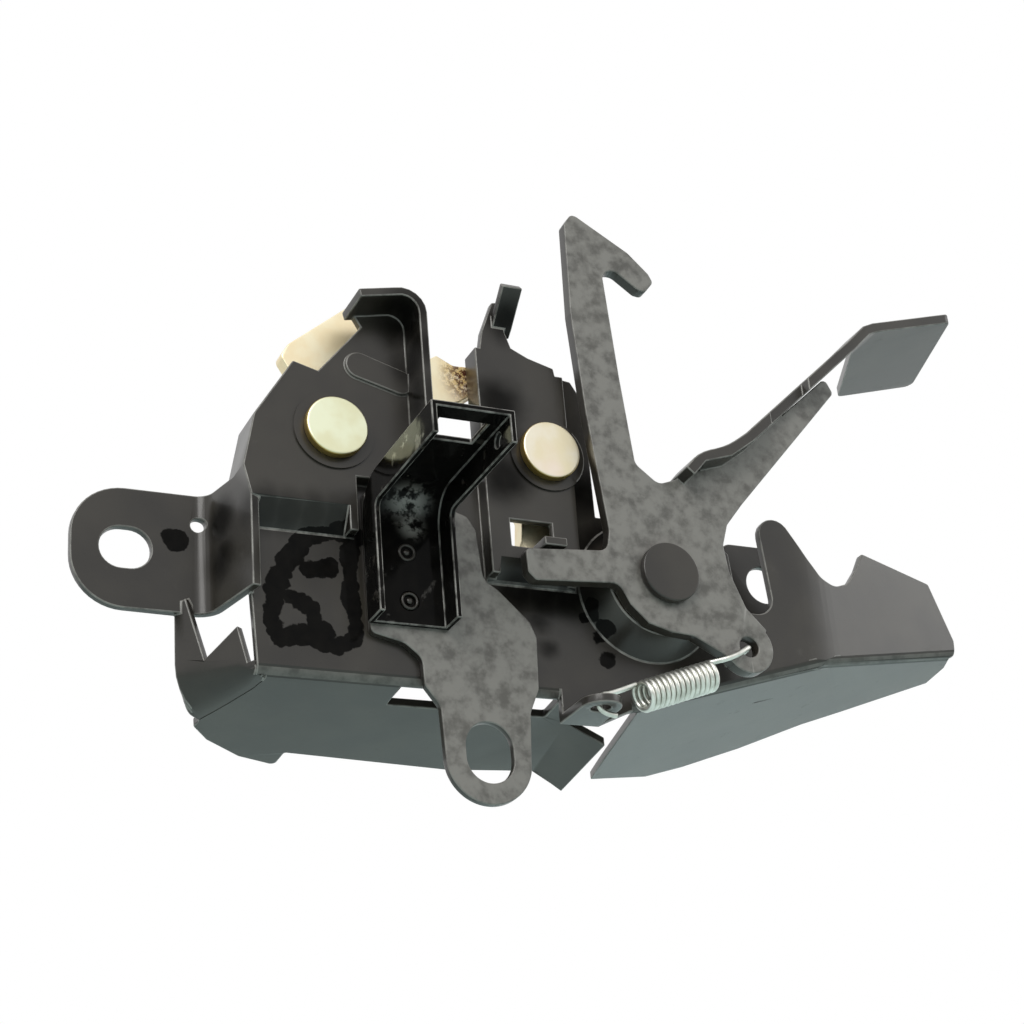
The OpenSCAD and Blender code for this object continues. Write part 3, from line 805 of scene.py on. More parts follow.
@dataclass(frozen=True)
class RoundEnd:
    """A round end of a flat plate's outline."""

    x: float
    z: float
    radius: float
    turn: tuple[float, float]
    slack: tuple[float, float] = (1.9, 1.2)
    step_mm: float = 0.5
    level_mm: float = 0.01
    cells_per_mm: float = 50.0

    def holds(self, point: Vector) -> bool:
        """Whether a point lies on the end's outline.

        Args:
            point: A point of the plate.

        Returns:
            True within the end's sector and close to its circle.
        """
        spoke = self.spoke(point)
        degrees = math.degrees(math.atan2(spoke.z, spoke.x))
        off = spoke.length / MM - self.radius
        start, stop = self.turn
        return (degrees - start) % 360.0 <= stop - start and -self.slack[0] < off < self.slack[1]

    def spoke(self, point: Vector) -> Vector:
        """Finds the way across the plate from the end's centre to a point.

        Args:
            point: A point of the plate.

        Returns:
            The way, with no depth.
        """
        away = point - place(self.x, 0.0, self.z)
        return Vector((away.x, 0.0, away.z))

    @staticmethod
    def on_rim(edge: bmesh.types.BMEdge) -> bool:
        """Whether an edge is a sharp one.

        Args:
            edge: An edge of the plate.

        Returns:
            True where its faces meet at more than RIM_DEG.
        """
        return edge.calc_face_angle(0.0) > math.radians(RIM_DEG)

    def shape_up(self, shape: bmesh.types.BMesh) -> None:
        """Brings the outline onto the circle.

        Args:
            shape: The plate, with each flat face in one.
        """
        rim = [
            edge
            for edge in shape.edges
            if all(self.holds(vert.co) for vert in edge.verts)
            and abs(edge.verts[0].co.y - edge.verts[1].co.y) < self.level_mm * MM
            and self.on_rim(edge)
        ]
        columns: dict[tuple[int, ...], list[bmesh.types.BMVert]] = {}
        for edge in rim:
            near, far = edge.verts
            for left in range(round(edge.calc_length() / (self.step_mm * MM)), 1, -1):
                near = bmesh.utils.edge_split(edge, near, 1.0 / left)[1]
                edge = next(part for part in near.link_edges if part.other_vert(near) == far)
                cell = tuple(round(v / MM * self.cells_per_mm) for v in (near.co.x, near.co.z))
                columns.setdefault(cell, []).append(near)
        for column in columns.values():
            walls = set(column[0].link_faces) & set(column[-1].link_faces) if len(column) == 2 else set()
            for wall in walls:
                bmesh.utils.face_split(wall, *column)
        for vert in shape.verts:
            if self.holds(vert.co) and any(self.on_rim(edge) for edge in vert.link_edges):
                spoke = self.spoke(vert.co)
                vert.co += spoke.normalized() * (self.radius * MM - spoke.length)


@dataclass
class RoundedPressing:
    """A stamped sheet part: its solid with the cut edges and folds rounded."""

    node: str
    body: Body
    slot: Slot
    radius_mm: float = 0.3
    segments: int = 2
    merge_mm: float = 0.001
    fold_deg: float = 32.0
    flat_deg: float = 0.5
    least_mm: float = 0.62
    flat_plate: bool = False
    facet_mm: float = 13.0
    facet_deg: tuple[float, float] = (6.0, 52.0)
    facet_share: float = 40.0
    facet_cuts: int = 3
    side_mm2: float = 250.0
    ends: Sequence[RoundEnd] = ()
    # Share of the painted highlight given to the fold facets.
    dust_and_fold_highlight: float = 0.0

    def smooth_outline(self, shape: bmesh.types.BMesh) -> None:
        """Joins each flat face into one and cuts the corners between the facets of a round outline.

        Args:
            shape: The merged copy of the solid.
        """
        bmesh.ops.dissolve_limit(
            shape,
            angle_limit=math.radians(self.flat_deg),
            use_dissolve_boundaries=False,
            verts=shape.verts,
            edges=shape.edges,
        )
        for end in self.ends:
            end.shape_up(shape)
        low, high = (math.radians(v) for v in self.facet_deg)
        chosen = []
        for edge in shape.edges:
            if len(edge.link_faces) == 2 and low < edge.calc_face_angle(0.0) < high:
                wide = [face.calc_area() / max(edge.calc_length(), 1e-9) for face in edge.link_faces]
                if max(wide) < self.facet_mm * MM and all(len(face.verts) == 4 for face in edge.link_faces):
                    chosen.append(edge)
        bmesh.ops.bevel(
            shape,
            geom=chosen,
            offset=self.facet_share,
            offset_type="PERCENT",
            segments=self.facet_cuts,
            profile=0.5,
            affect="EDGES",
        )
        bmesh.ops.triangulate(shape, faces=[face for face in shape.faces if len(face.verts) > 4])

    def sharp_edges(self, shape: bmesh.types.BMesh) -> list[bmesh.types.BMEdge]:
        """Finds the sharp edges between faces that are wide enough to be rounded.

        Args:
            shape: The merged copy of the solid.

        Returns:
            Those edges; other sharp edges are marked as creases.
        """
        shape.faces.index_update()
        regions = flat_regions(shape, math.radians(self.flat_deg))
        least = self.least_mm * MM
        chosen = []
        for edge in shape.edges:
            if len(edge.link_faces) != 2 or edge.calc_face_angle(0.0) < math.radians(self.fold_deg):
                continue
            first = edge.verts[0].co
            way = (edge.verts[1].co - first).normalized()
            widths = [
                max((point - first).cross(way).length for point in regions[face.index]) for face in edge.link_faces
            ]
            if min(widths) > least:
                chosen.append(edge)
            else:
                edge.smooth = False
        return chosen

    def flat_sides(self, shape: bmesh.types.BMesh) -> dict[int, float]:
        """Finds the large flat sides that face the front or the rear.

        Args:
            shape: The merged copy of the solid.

        Returns:
            1 for the rear or -1 for the front, by each side's depth in hundredths of a millimetre.
        """
        areas: dict[tuple[int, float], float] = {}
        for face in shape.faces:
            if abs(face.normal.y) > SIDE_FACING:
                side = (round(face.verts[0].co.y / MM * 100), math.copysign(1.0, face.normal.y))
                areas[side] = areas.get(side, 0.0) + face.calc_area()
        return {depth: facing for (depth, facing), area in areas.items() if area > self.side_mm2 * MM * MM}

    @staticmethod
    def refill(shape: bmesh.types.BMesh, depth: int, facing: float) -> bmesh.types.BMesh:
        """Fills a large flat side anew between its rounded edges, where the new fill matches the old one.

        Args:
            shape: The rounded plate.
            depth: The side's depth in hundredths of a millimetre.
            facing: 1 for the rear or -1 for the front.

        Returns:
            The plate with the new fill, or a copy of it as it was.
        """
        before = shape.copy()
        level = depth / 100 * MM
        flat = {vert for vert in shape.verts if abs(vert.co.y - level) < SIDE_SLACK_MM * MM}
        old = [face for face in shape.faces if flat.issuperset(face.verts)]
        area = sum(math.copysign(face.calc_area(), face.normal.y * facing) for face in old)
        bmesh.ops.delete(shape, geom=old, context="FACES")
        border = [edge for edge in shape.edges if len(edge.link_faces) == 1 and flat.issuperset(edge.verts)]
        made = bmesh.ops.triangle_fill(shape, use_beauty=True, edges=border, normal=(0.0, facing, 0.0))
        new = [face for face in made["geom"] if isinstance(face, bmesh.types.BMFace)]
        closed = all(len(edge.link_faces) == 2 for edge in shape.edges)
        if not closed or abs(sum(face.calc_area() for face in new) - area) > FILL_SLACK * area:
            shape.free()
            return before
        before.free()
        strength = shape.faces.layers.int[FACE_STRENGTH]
        for face in new:
            face[strength] = STRONG
            if face.normal.y * facing < 0.0:
                face.normal_flip()
        return shape

    @staticmethod
    def in_fold(face: bmesh.types.BMFace) -> bool:
        """Whether a narrow facet faces both the front and the floor, as the bottom folds do.

        Args:
            face: The facet.

        Returns:
            True for a facet of a fold.
        """
        longest = max(edge.calc_length() for edge in face.edges)
        narrow = longest > FOLD_LONG_MM * MM and face.calc_area() < FOLD_WIDE_MM * MM * longest
        return narrow and max(face.normal.y, face.normal.z) < FOLD_FACING

    def build(self, material: bpy.types.Material) -> bpy.types.Object:
        """Builds and dresses the piece.

        Args:
            material: Its finish.

        Returns:
            The rounded piece, which replaces the solid.
        """
        shape = bmesh.new()
        shape.from_mesh(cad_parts[self.node].data)
        highlight_layer = shape.loops.layers.float_color.new(EDGE_HIGHLIGHT)
        shape.faces.layers.int.new(FACE_STRENGTH)
        bmesh.ops.remove_doubles(shape, verts=shape.verts, dist=self.merge_mm * MM)
        bmesh.ops.dissolve_degenerate(shape, dist=self.merge_mm * MM, edges=shape.edges)
        sides: dict[int, float] = {}
        if self.flat_plate:
            self.smooth_outline(shape)
            sides = self.flat_sides(shape)
        made = bmesh.ops.bevel(
            shape,
            geom=self.sharp_edges(shape),
            offset=self.radius_mm * MM,
            offset_type="OFFSET",
            segments=self.segments,
            profile=0.5,
            affect="EDGES",
            clamp_overlap=False,
            miter_outer="SHARP",
        )
        rounded = {face for face in made["faces"] if face.is_valid}
        # Painted highlight: rounded faces get the full share, fold facets the given part.
        for face in shape.faces:
            level = 1.0 if face in rounded else self.dust_and_fold_highlight * self.in_fold(face)
            for loop in face.loops:
                loop[highlight_layer] = (level, level, level, 1.0)
        for depth, facing in sides.items():
            shape = self.refill(shape, depth, facing)
        for face in shape.faces:
            face.smooth = True
        piece = to_object(self.node + "_rounded", shape)
        normals = piece.modifiers.new("even_normals", "WEIGHTED_NORMAL")
        normals.keep_sharp = True
        normals.use_face_influence = True
        bake_modifiers(piece)
        return dress(piece, material, self.body, [self.node])


def lathe(name: str, node: str, profile: Sequence[tuple[float, float]], segments: int = 72) -> bpy.types.Object:
    """Turns a profile about the Y axis of a round solid.

    Args:
        name: The piece's name.
        node: The solid whose axis it shares.
        profile: Radius and depth in metres, from the front centre to the rear centre.
        segments: Points round the axis.

    Returns:
        The turned piece.
    """
    low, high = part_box(node)
    centre = (low + high) / 2
    shape = bmesh.new()
    rings: list[list[bmesh.types.BMVert]] = []
    for radius, depth in profile:
        if radius == 0.0:
            rings.append([shape.verts.new((centre.x, depth, centre.z))])
            continue
        turn = [2 * math.pi * k / segments for k in range(segments)]
        rings.append(
            [shape.verts.new((centre.x + radius * math.cos(a), depth, centre.z + radius * math.sin(a))) for a in turn]
        )
    for ahead, behind in zip(rings, rings[1:]):
        for k in range(segments):
            corners = [ahead[k % len(ahead)], ahead[(k + 1) % len(ahead)], behind[(k + 1) % len(behind)]]
            corners.append(behind[k % len(behind)])
            unique = list(dict.fromkeys(corners))
            if len(unique) > 2:
                shape.faces.new(unique)
    bmesh.ops.recalc_face_normals(shape, faces=shape.faces)
    for face in shape.faces:
        face.smooth = True
    piece = to_object(name, shape)
    piece.data.set_sharp_from_angle(angle=math.radians(LATHE_SHARP_DEG))
    return piece


@dataclass
class TurnedPin:
    """A headed pin: a slightly crowned head with a rounded rim and a plain shank."""

    node: str
    slot: Slot
    head_mm: float
    crown_mm: float = 0.08
    rim_mm: float = 0.5
    closed_mm: float = 0.0
    steps: int = 6

    def build(self, material: bpy.types.Material, shank_mm: float) -> bpy.types.Object:
        """Builds and dresses the pin.

        Args:
            material: Its finish.
            shank_mm: Radius of the shank.

        Returns:
            The pin, which replaces its solid.
        """
        low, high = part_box(self.node)
        head = (high.x - low.x) / 2
        front, back = low.y, high.y
        under = front + self.head_mm * MM
        rim, crown, shank = self.rim_mm * MM, self.crown_mm * MM, shank_mm * MM
        rows = [(0.0, front), (0.5 * head, front + 0.2 * crown), (head - rim - 0.3 * MM, front + crown)]
        for k in range(self.steps + 1):
            a = math.pi / 2 * k / self.steps
            rows.append((head - rim + rim * math.sin(a), front + crown + rim * (1 - math.cos(a))))
        rows += [(head, under - 0.3 * MM), (head - 0.2 * MM, under), (shank, under)]
        if self.closed_mm:
            closed = self.closed_mm * MM
            seat = back - 1.8 * MM
            rows += [(shank, seat), (closed - 0.3 * MM, seat), (closed, seat + 0.3 * MM)]
            rows += [(closed, back - 0.8 * MM), (closed - 0.5 * MM, back - 0.2 * MM), (shank, back), (0.0, back)]
        else:
            rows += [(shank, back - 0.5 * MM), (shank - 0.5 * MM, back), (0.0, back)]
        return dress(lathe(self.node + "_turned", self.node, rows), material, Body.BASE, [self.node])


@dataclass
class RetainingClip:
    """A flat spring clip with three prongs and an open side, pushed on a pin's rear end."""

    node: str
    shank_mm: float
    prongs: Sequence[float] = (90.0, 210.0, 330.0)
    prong_deg: float = 22.0
    open_deg: float = 34.0
    fit_mm: float = 0.05
    inset_mm: float = 0.2
    relief_mm: float = 1.5
    open_at: float = 270.0
    steps: int = 90

    def inner(self, angle: float) -> float:
        """Finds the clip's inner radius.

        Args:
            angle: Degrees round the pin.

        Returns:
            The radius in millimetres.
        """
        for prong in self.prongs:
            if abs((angle - prong + 180.0) % 360.0 - 180.0) <= self.prong_deg:
                return self.shank_mm + self.fit_mm
        return self.shank_mm + self.relief_mm

    def build(self, material: bpy.types.Material) -> bpy.types.Object:
        """Builds and dresses the clip.

        Args:
            material: Its finish.

        Returns:
            The clip, which replaces its ring.
        """
        low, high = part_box(self.node)
        centre = (low + high) / 2
        outer = (high.x - low.x) / 2
        front, back = low.y + self.inset_mm * MM, high.y - self.inset_mm * MM
        start, stop = self.open_at + self.open_deg, self.open_at + 360.0 - self.open_deg
        shape = bmesh.new()
        rows = []
        for k in range(self.steps + 1):
            degrees = start + (stop - start) * k / self.steps
            a = math.radians(degrees)
            spoke = Vector((math.cos(a), 0.0, math.sin(a)))
            rows.append(
                [
                    shape.verts.new(Vector((centre.x, depth, centre.z)) + spoke * radius)
                    for radius, depth in (
                        (self.inner(degrees) * MM, front),
                        (outer, front),
                        (outer, back),
                        (self.inner(degrees) * MM, back),
                    )
                ]
            )
        for first, second in zip(rows, rows[1:]):
            for k in range(4):
                shape.faces.new([first[k], first[(k + 1) % 4], second[(k + 1) % 4], second[k]])
        shape.faces.new(rows[0])
        shape.faces.new(list(reversed(rows[-1])))
        bmesh.ops.recalc_face_normals(shape, faces=shape.faces)
        return dress(to_object(self.node + "_sprung", shape), material, Body.BASE, [self.node])


Tree = tuple[Shader, dict[str, str]]


def group_tree(name: str, sockets: Sequence[tuple[str, str]]) -> tuple[Shader, bpy.types.Node, dict[str, str]]:
    """Starts a Geometry Nodes tree.

    Args:
        name: The tree's name.
        sockets: Name and type of each input after the geometry.

    Returns:
        The tree's builder, its input node, and each input's identifier by name.
    """
    tree = bpy.data.node_groups.new(name, "GeometryNodeTree")
    tree.interface.new_socket("Geometry", in_out="INPUT", socket_type="NodeSocketGeometry")
    names = {}
    for label, kind in sockets:
        names[label] = tree.interface.new_socket(label, in_out="INPUT", socket_type=kind).identifier
    tree.interface.new_socket("Geometry", in_out="OUTPUT", socket_type="NodeSocketGeometry")
    builder = Shader(tree)
    return builder, builder.node("NodeGroupInput"), names


def run_tree(
    piece: bpy.types.Object, builder: Shader, names: Mapping[str, str], values: Mapping[str, Any]
) -> bpy.types.Object:
    """Runs a Geometry Nodes tree on an object and keeps the result as a plain mesh.

    Args:
        piece: The object that holds the path or the points.
        builder: The tree's builder.
        names: Input identifiers by name.
        values: Input values by name.

    Returns:
        The object with the made mesh.
    """
    modifier = piece.modifiers.new("made", "NODES")
    modifier.node_group = builder.tree
    for label, value in values.items():
        modifier[names[label]] = value
    return bake_modifiers(piece)


def circle(b: Shader, points: Any, radius: bpy.types.NodeSocket) -> bpy.types.NodeSocket:
    """Adds a circle to a Geometry Nodes tree.

    Args:
        b: The tree's builder.
        points: Points round the circle, or the socket that gives them.
        radius: The socket that gives its radius.

    Returns:
        The circle's curve.
    """
    made = b.node("GeometryNodeCurvePrimitiveCircle", {"mode": "RADIUS"}, {"Resolution": points, "Radius": radius})
    return made.outputs["Curve"]


def end_tree(b: Shader, made: bpy.types.NodeSocket, given: bpy.types.Node) -> None:
    """Ends a Geometry Nodes tree in real, smooth faces with the given finish.

    Args:
        b: The tree's builder.
        made: The geometry so far.
        given: The tree's input node.
    """
    for kind in ("GeometryNodeRealizeInstances", "GeometryNodeSetShadeSmooth"):
        made = b.node(kind, None, {"Geometry": made}).outputs[0]
    dressed = b.node("GeometryNodeSetMaterial", None, {"Geometry": made, "Material": given.outputs["Finish"]})
    b.node("NodeGroupOutput", None, {0: dressed.outputs[0]})


def wire_tree() -> Tree:
    """A tree that runs round wire along a path of edges.

    Returns:
        The tree's builder and its input identifiers.
    """
    b, given, names = group_tree(
        "wound_wire",
        [("Wire radius", "NodeSocketFloat"), ("Sides", "NodeSocketInt"), ("Finish", "NodeSocketMaterial")],
    )
    path = b.node("GeometryNodeMeshToCurve", None, {"Mesh": given.outputs["Geometry"]})
    section = circle(b, given.outputs["Sides"], given.outputs["Wire radius"])
    swept = b.node(
        "GeometryNodeCurveToMesh", None, {"Curve": path.outputs[0], "Profile Curve": section, "Fill Caps": True}
    )
    end_tree(b, swept.outputs[0], given)
    return b, names


def weld_tree() -> Tree:
    """A tree that sets a projection weld's ring and bead on each point.

    Returns:
        The tree's builder and its input identifiers.
    """
    b, given, names = group_tree(
        "weld_marks",
        [("Ring radius", "NodeSocketFloat"), ("Bead radius", "NodeSocketFloat"), ("Finish", "NodeSocketMaterial")],
    )
    ring = circle(b, RING_POINTS, given.outputs["Ring radius"])
    section = circle(b, BEAD_POINTS, given.outputs["Bead radius"])
    swept = b.node("GeometryNodeCurveToMesh", None, {"Curve": ring, "Profile Curve": section})
    size = {"Segments": BEAD_BANDS[0], "Rings": BEAD_BANDS[1], "Radius": given.outputs["Ring radius"]}
    bead = b.node("GeometryNodeMeshUVSphere", None, size)
    low = b.node("GeometryNodeTransform", None, {"Geometry": bead.outputs["Mesh"], "Scale": Vector(BEAD_SCALE)})
    joined = b.node("GeometryNodeJoinGeometry")
    for part in (swept, low):
        b.tree.links.new(part.outputs[0], joined.inputs[0])
    points = b.node("GeometryNodeMeshToPoints", None, {"Mesh": given.outputs["Geometry"]})
    spread = b.node(
        "GeometryNodeInstanceOnPoints",
        None,
        {"Points": points.outputs[0], "Instance": joined.outputs[0], "Rotation": (math.pi / 2, 0.0, 0.0)},
    )
    end_tree(b, spread.outputs[0], given)
    return b, names


def path_object(name: str, points: Sequence[Vector], joined: bool = True) -> bpy.types.Object:
    """Holds points, joined in a line or loose, for a Geometry Nodes tree.

    Args:
        name: The object's name.
        points: Points in the shared frame.
        joined: Whether neighbours are joined by edges.

    Returns:
        The object.
    """
    mesh = bpy.data.meshes.new(name)
    edges = [(k, k + 1) for k in range(len(points) - 1)] if joined else []
    mesh.from_pydata([tuple(p) for p in points], edges, [])
    return add_object(name, mesh)


def round_off(points: Sequence[Vector], times: int = 2) -> list[Vector]:
    """Rounds a line's corners by cutting them.

    Args:
        points: The line.
        times: How often each corner is cut.

    Returns:
        The rounded line, with the same ends.
    """
    line = list(points)
    for _ in range(times):
        cut = [line[0]]
        for first, second in zip(line, line[1:]):
            cut += [first.lerp(second, 0.25), first.lerp(second, 0.75)]
        line = cut + [line[-1]]
    return line


def with_ends(head: Sequence[Vector], coil: Sequence[Vector], tail: Sequence[Vector]) -> list[Vector]:
    """Joins a coil and its two bent ends into one line.

    Args:
        head: The wire before the coil, in millimetres of the drawing.
        coil: The coil.
        tail: The wire after the coil.

    Returns:
        The line in the shared frame.
    """
    line = round_off([*head, coil[0]])[:-1] + [*coil] + round_off([coil[-1], *tail])[1:]
    return [place(*p) for p in line]


def wind(
    node: str, line: Sequence[Vector], wire_mm: float, tree: Tree, material: bpy.types.Material
) -> bpy.types.Object:
    """Winds a spring's wire and dresses it.

    Args:
        node: The solid that the spring replaces.
        line: The wire's centre line in the shared frame.
        wire_mm: Radius of the wire.
        tree: The wound-wire tree.
        material: Its finish.

    Returns:
        The spring, not yet on its bodies.
    """
    values = {"Wire radius": wire_mm * MM, "Sides": WIRE_SIDES, "Finish": material}
    piece = run_tree(path_object(node + "_wound", line), *tree, values)
    return dress(piece, material, None, [node])


@dataclass
class HookSpring:
    """The safety hook's close-coiled spring, with a loop in each eye."""

    coil_from: tuple[float, float, float] = (24.6, -4.8, -43.2)
    coil_to: tuple[float, float, float] = (42.4, -4.8, -36.9)
    anchor: tuple[float, float, float] = (14.5, -4.8, -44.6)
    eye: tuple[float, float] = (52.5, -29.7)
    plate_front: float = -6.5
    plate_back: float = -3.3
    tab_mm: float = 2.0
    radius_mm: float = 3.0
    wire_mm: float = 0.6
    turns: int = 14
    per_turn: int = 26

    def path(self) -> list[Vector]:
        """Draws the wire's centre line.

        Returns:
            The line in the shared frame.
        """
        first, last = Vector(self.coil_from), Vector(self.coil_to)
        axis = (last - first).normalized()
        up = Vector((-axis.z, 0.0, axis.x)).normalized()
        out = axis.cross(up)
        steps = self.turns * self.per_turn
        coil = []
        for k in range(steps + 1):
            a = math.pi / 2 + 2 * math.pi * self.turns * k / steps
            coil.append(first.lerp(last, k / steps) + self.radius_mm * (math.cos(a) * out + math.sin(a) * up))
        ax, ay, az = self.anchor
        above, below = az + 0.3 + self.wire_mm, az - self.tab_mm - 0.3 - self.wire_mm
        front, rear = self.plate_front - 0.4 - self.wire_mm, self.plate_back + 0.4 + self.wire_mm
        ex, ez = self.eye
        head = [
            Vector(p)
            for p in (
                (ax + 3.6, ay, below - 0.4), (ax + 1.0, ay, below), (ax - 0.4, ay, below + 1.2), (ax - 0.6, ay, az),
                (ax + 0.6, ay, above + 0.4), (ax + 3.0, ay, above + 0.8),
            )
        ]
        tail = [
            Vector(p)
            for p in (
                (ex - 5.0, front - 0.4, ez - 3.4), (ex - 1.0, front, ez - 0.6), (ex - 0.2, front + 1.2, ez - 0.3),
                (ex, rear - 1.0, ez - 0.3), (ex - 1.0, rear, ez - 1.0), (ex - 4.0, rear + 0.2, ez - 3.0),
            )
        ]
        return with_ends(head, coil, tail)

    def build(self, tree: Tree, material: bpy.types.Material) -> bpy.types.Object:
        """Builds and dresses the spring, stretched between the base and the hook.

        Args:
            tree: The wound-wire tree.
            material: Its finish.

        Returns:
            The spring.
        """
        piece = wind("hook_spring", self.path(), self.wire_mm, tree, material)
        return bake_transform(piece)


@dataclass
class LegSpring:
    """A lever's return spring: a coil round the pin, one leg in the lever and one on the base."""

    node: str
    lever: Body
    axis: tuple[float, float]
    hole: tuple[float, float]
    start_deg: float
    lead: tuple[float, float]
    rest: Sequence[tuple[float, float, float]]
    lever_front: float = 6.5
    lever_back: float = 10.5
    coil_mm: float = 6.4
    wire_mm: float = 0.7
    turns: float = 2.75
    per_turn: int = 32
    gap_mm: float = 0.2
    apart_mm: float = 0.05

    def depths(self) -> tuple[float, float]:
        """Finds where the coil starts and ends along its pin.

        Returns:
            Both depths in millimetres of the drawing.
        """
        lie = self.lever_back + self.gap_mm + self.wire_mm
        return lie, lie + (2 * self.wire_mm + self.apart_mm) * self.turns

    def path(self) -> list[Vector]:
        """Draws the wire's centre line.

        Returns:
            The line in the shared frame.
        """
        lie, last = self.depths()
        steps = int(self.turns * self.per_turn)
        coil = []
        for k in range(steps + 1):
            a = math.radians(self.start_deg - 360.0 * self.turns * k / steps)
            coil.append(
                Vector(
                    (
                        self.axis[0] + self.coil_mm * math.cos(a),
                        lie + (last - lie) * k / steps,
                        self.axis[1] + self.coil_mm * math.sin(a),
                    )
                )
            )
        x, z = self.axis[0] + self.hole[0], self.axis[1] + self.hole[1]
        head = [
            Vector((x, self.lever_front + 1.0, z)),
            Vector((x, lie - 0.4, z)),
            Vector((x + self.lead[0], lie, z + self.lead[1])),
        ]
        rear = coil[-1].y
        tail = [Vector((px, rear + dy if dy > -2.0 else -dy, pz)) for px, dy, pz in self.rest]
        return with_ends(head, coil, tail)

    def build(self, tree: Tree, material: bpy.types.Material) -> bpy.types.Object:
        """Builds and dresses the spring, wound between the lever and the base.

        Args:
            tree: The wound-wire tree.
            material: Its finish.

        Returns:
            The spring.
        """
        piece = wind(self.node, self.path(), self.wire_mm, tree, material)
        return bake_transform(piece)


@dataclass
class GuardWelds:
    """Projection welds on the guard channel's leg."""

    mid_x: float = -25.45
    face_y: float = 0.7
    heights: Sequence[float] = (-23.6, -12.4)
    ring_mm: float = 1.7
    bead_mm: float = 0.34

    def build(self, tree: Tree, material: bpy.types.Material) -> bpy.types.Object:
        """Builds and dresses the marks.

        Args:
            tree: The weld-mark tree.
            material: Their finish.

        Returns:
            The marks as one piece.
        """
        points = [place(self.mid_x, self.face_y, z) for z in self.heights]
        piece = run_tree(
            path_object("guard_weld_marks", points, joined=False),
            *tree,
            {"Ring radius": self.ring_mm * MM, "Bead radius": self.bead_mm * MM, "Finish": material},
        )
        return dress(piece, material, Body.BASE)


@dataclass
class Studio:
    """Camera, floor, lamps and white surroundings."""

    azimuth: float = 26.5
    elevation: float = 25.2
    roll: float = 5.0
    distance: float = 0.452
    view_deg: float = 28.0
    floor_z: float = -0.30
    floor_half: float = 3.0
    floor_cells: int = 8
    clip: tuple[float, float] = (0.01, 20.0)

    def camera(self) -> None:
        """Stands the camera at the photograph's angle, below and to the left."""
        az, el = math.radians(self.azimuth), math.radians(self.elevation)
        ahead = Vector((math.sin(az) * math.cos(el), math.cos(az) * math.cos(el), math.sin(el)))
        right = Vector((math.cos(az), -math.sin(az), 0.0))
        up = right.cross(ahead)
        turn = math.radians(self.roll)
        right, up = math.cos(turn) * right - math.sin(turn) * up, math.sin(turn) * right + math.cos(turn) * up
        eye = place(0.0, 0.0, 0.0) - self.distance * ahead
        data = bpy.data.cameras.new("photo_camera")
        data.sensor_fit = "HORIZONTAL"
        data.angle = math.radians(self.view_deg)
        data.clip_start, data.clip_end = self.clip
        holder = add_object("photo_camera", data)
        turned = Matrix((right, up, -ahead)).transposed().to_4x4()
        turned.translation = eye
        holder.matrix_world = turned
        bpy.context.scene.camera = holder

    def floor(self) -> None:
        """Lays the pale floor well below the camera."""
        material, s = new_material("pale_floor")
        cloud = s.noise(s.place_on_part(), 3.0)
        s.finish({"Base Color": s.mix(cloud, (0.66, 0.81, 0.80), (0.71, 0.86, 0.85)), "Roughness": 0.7})
        shape = bmesh.new()
        bmesh.ops.create_grid(
            shape, x_segments=self.floor_cells, y_segments=self.floor_cells, size=self.floor_half
        )
        floor = to_object("floor", shape)
        floor.data.transform(Matrix.Translation((0.0, 0.0, self.floor_z)))
        floor.data.materials.append(material)

    def lamp(
        self, name: str, at: Vector, aim: Vector, size: float, power: float, colour: Colour, mirrored: bool = True
    ) -> None:
        """Hangs a soft square lamp.

        Args:
            name: Its name.
            at: Where it hangs.
            aim: The point that it faces.
            size: Its side in metres.
            power: Watts.
            colour: Its tint.
            mirrored: Whether glossy surfaces show it.
        """
        data = bpy.data.lights.new(name, "AREA")
        data.shape = "SQUARE"
        data.size = size
        data.energy = power
        data.color = colour
        holder = add_object(name, data)
        holder.location = at
        holder.rotation_euler = (aim - at).to_track_quat("-Z", "Y").to_euler()
        holder.visible_camera = False
        holder.visible_glossy = mirrored

    def surroundings(self) -> None:
        """Makes the world white to the camera and a soft even studio to the part."""
        world = bpy.data.worlds.new("white_studio")
        bpy.context.scene.world = world
        world.use_nodes = True
        s = Shader(world.node_tree)
        path = s.node("ShaderNodeLightPath").outputs
        seen = Val(s, path["Is Camera Ray"])
        for kind in ("Is Glossy Ray", "Is Transmission Ray"):
            seen = seen.math("MAXIMUM", Val(s, path[kind]))
        way = s.node("ShaderNodeTexCoord").outputs["Generated"]
        height = s.node("ShaderNodeSeparateXYZ", None, {0: way}).outputs["Z"]
        glow = Val(s, height).between(-0.35, 0.5)
        colour = s.mix(glow, (0.40, 0.44, 0.44), (0.66, 0.66, 0.65))
        white = s.mix(seen, colour, (1.0, 1.0, 1.0))
        back = s.node("ShaderNodeBackground", None, {"Color": white, "Strength": 1.0})
        s.node("ShaderNodeOutputWorld", None, {"Surface": back.outputs[0]})

    def build(self) -> None:
        """Sets up everything round the part."""
        self.camera()
        self.floor()
        latch, under = place(0.0, 0.0, 0.0), Vector((0.5, 0.5, self.floor_z))
        self.lamp("key_softbox", Vector((-0.55, -0.75, 0.55)), latch, 0.6, 6.0, (1.0, 0.99, 0.97))
        self.lamp("right_softbox", Vector((0.95, -0.50, 0.52)), latch, 0.5, 1.7, (1.0, 1.0, 0.98))
        self.lamp("floor_softbox", Vector((0.75, 0.75, 0.12)), under, 0.4, 3.6, (0.93, 0.99, 1.0), False)
        self.surroundings()
        bpy.context.scene.view_settings.view_transform = "Standard"


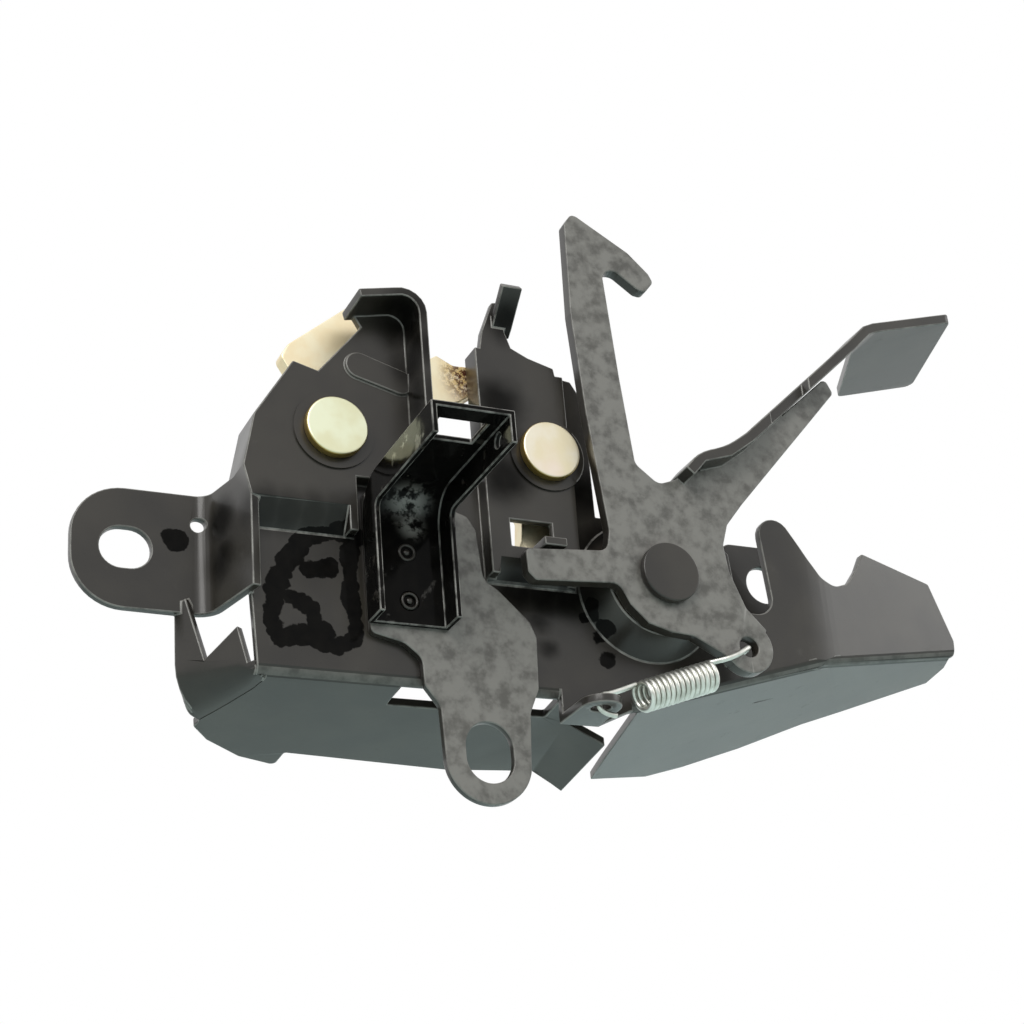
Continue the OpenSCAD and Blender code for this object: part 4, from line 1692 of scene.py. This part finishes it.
@dataclass
class BonnetLatch:
    """The whole latch."""

    finishes: Finishes

    def pressings(self) -> None:
        """Builds the stamped parts."""
        paint, zinc, worn = self.finishes.paint, self.finishes.zinc, self.finishes.worn_zinc
        guard, hook = self.finishes.guard_paint, self.finishes.hook_paint
        RoundedPressing("base_plate", Body.BASE, Slot.PAINT, dust_and_fold_highlight=0.5).build(paint)
        tab_end = RoundEnd(-9.1, -57.0, 9.8, (178.0, 348.0))
        eye_end = RoundEnd(52.5, -29.7, 6.15, (-140.0, 40.0))
        RoundedPressing("lower_bracket", Body.BASE, Slot.PAINT, flat_plate=True, ends=[tab_end]).build(hook)
        RoundedPressing("guard_channel", Body.BASE, Slot.PAINT).build(guard)
        RoundedPressing("safety_hook", Body.HOOK, Slot.PAINT, flat_plate=True, ends=[eye_end]).build(hook)
        RoundedPressing("claw", Body.CLAW, Slot.ZINC, flat_plate=True).build(worn)
        RoundedPressing("pawl", Body.PAWL, Slot.ZINC, flat_plate=True).build(zinc)

    def turned_parts(self) -> None:
        """Builds the pins, the rivet, the clips and dresses the collars."""
        for name, finish in (("claw", self.finishes.claw_pin), ("pawl", self.finishes.pawl_pin)):
            TurnedPin(name + "_pin", Slot.ZINC, 2.3).build(finish, SHANK_MM)
            RetainingClip(name + "_clip", SHANK_MM).build(self.finishes.wire)
            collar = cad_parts[name + "_collar"]
            collar.data.materials.clear()
            collar.data.materials.append(self.finishes.zinc)
        TurnedPin("hook_rivet", Slot.PAINT, 2.0, rim_mm=0.4, closed_mm=6.0).build(self.finishes.paint, SHANK_MM)

    def springs(self) -> None:
        """Winds the three springs and sets the weld marks."""
        wire = wire_tree()
        HookSpring().build(wire, self.finishes.wire)
        LegSpring(
            "claw_spring", Body.CLAW, (-41.0, 14.4), (-4.0, 9.0), 90.0, (1.2, -1.4),
            [(-50.0, 0.0, 11.0), (-56.2, 0.0, 6.2), (-57.4, -1.0, 5.8), (-57.4, -7.0, 5.8)],
        ).build(wire, self.finishes.wire)
        LegSpring(
            "pawl_spring", Body.PAWL, (10.0, 15.6), (5.0, -7.0), -10.0, (0.6, 1.6),
            [(14.0, 0.0, 24.6), (22.8, 0.0, 28.6), (24.0, -1.0, 29.0), (24.0, -4.0, 29.0)],
        ).build(wire, self.finishes.wire)
        GuardWelds().build(weld_tree(), self.finishes.paint)

    def build(self) -> None:
        """Builds every piece in order."""
        self.pressings()
        self.turned_parts()
        self.springs()


def corners(box: Any) -> list[list[float]]:
    """Turns a box into plain numbers.

    Args:
        box: The box's two corners.

    Returns:
        The corners as lists.
    """
    return [[float(v) for v in corner] for corner in box]


def main() -> None:
    """Builds the latch and its studio."""
    logging.basicConfig(level=logging.INFO, format="%(message)s")
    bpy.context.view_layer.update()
    Studio().build()
    BonnetLatch(Finishes.make()).build()


if __name__ == "__main__":
    main()
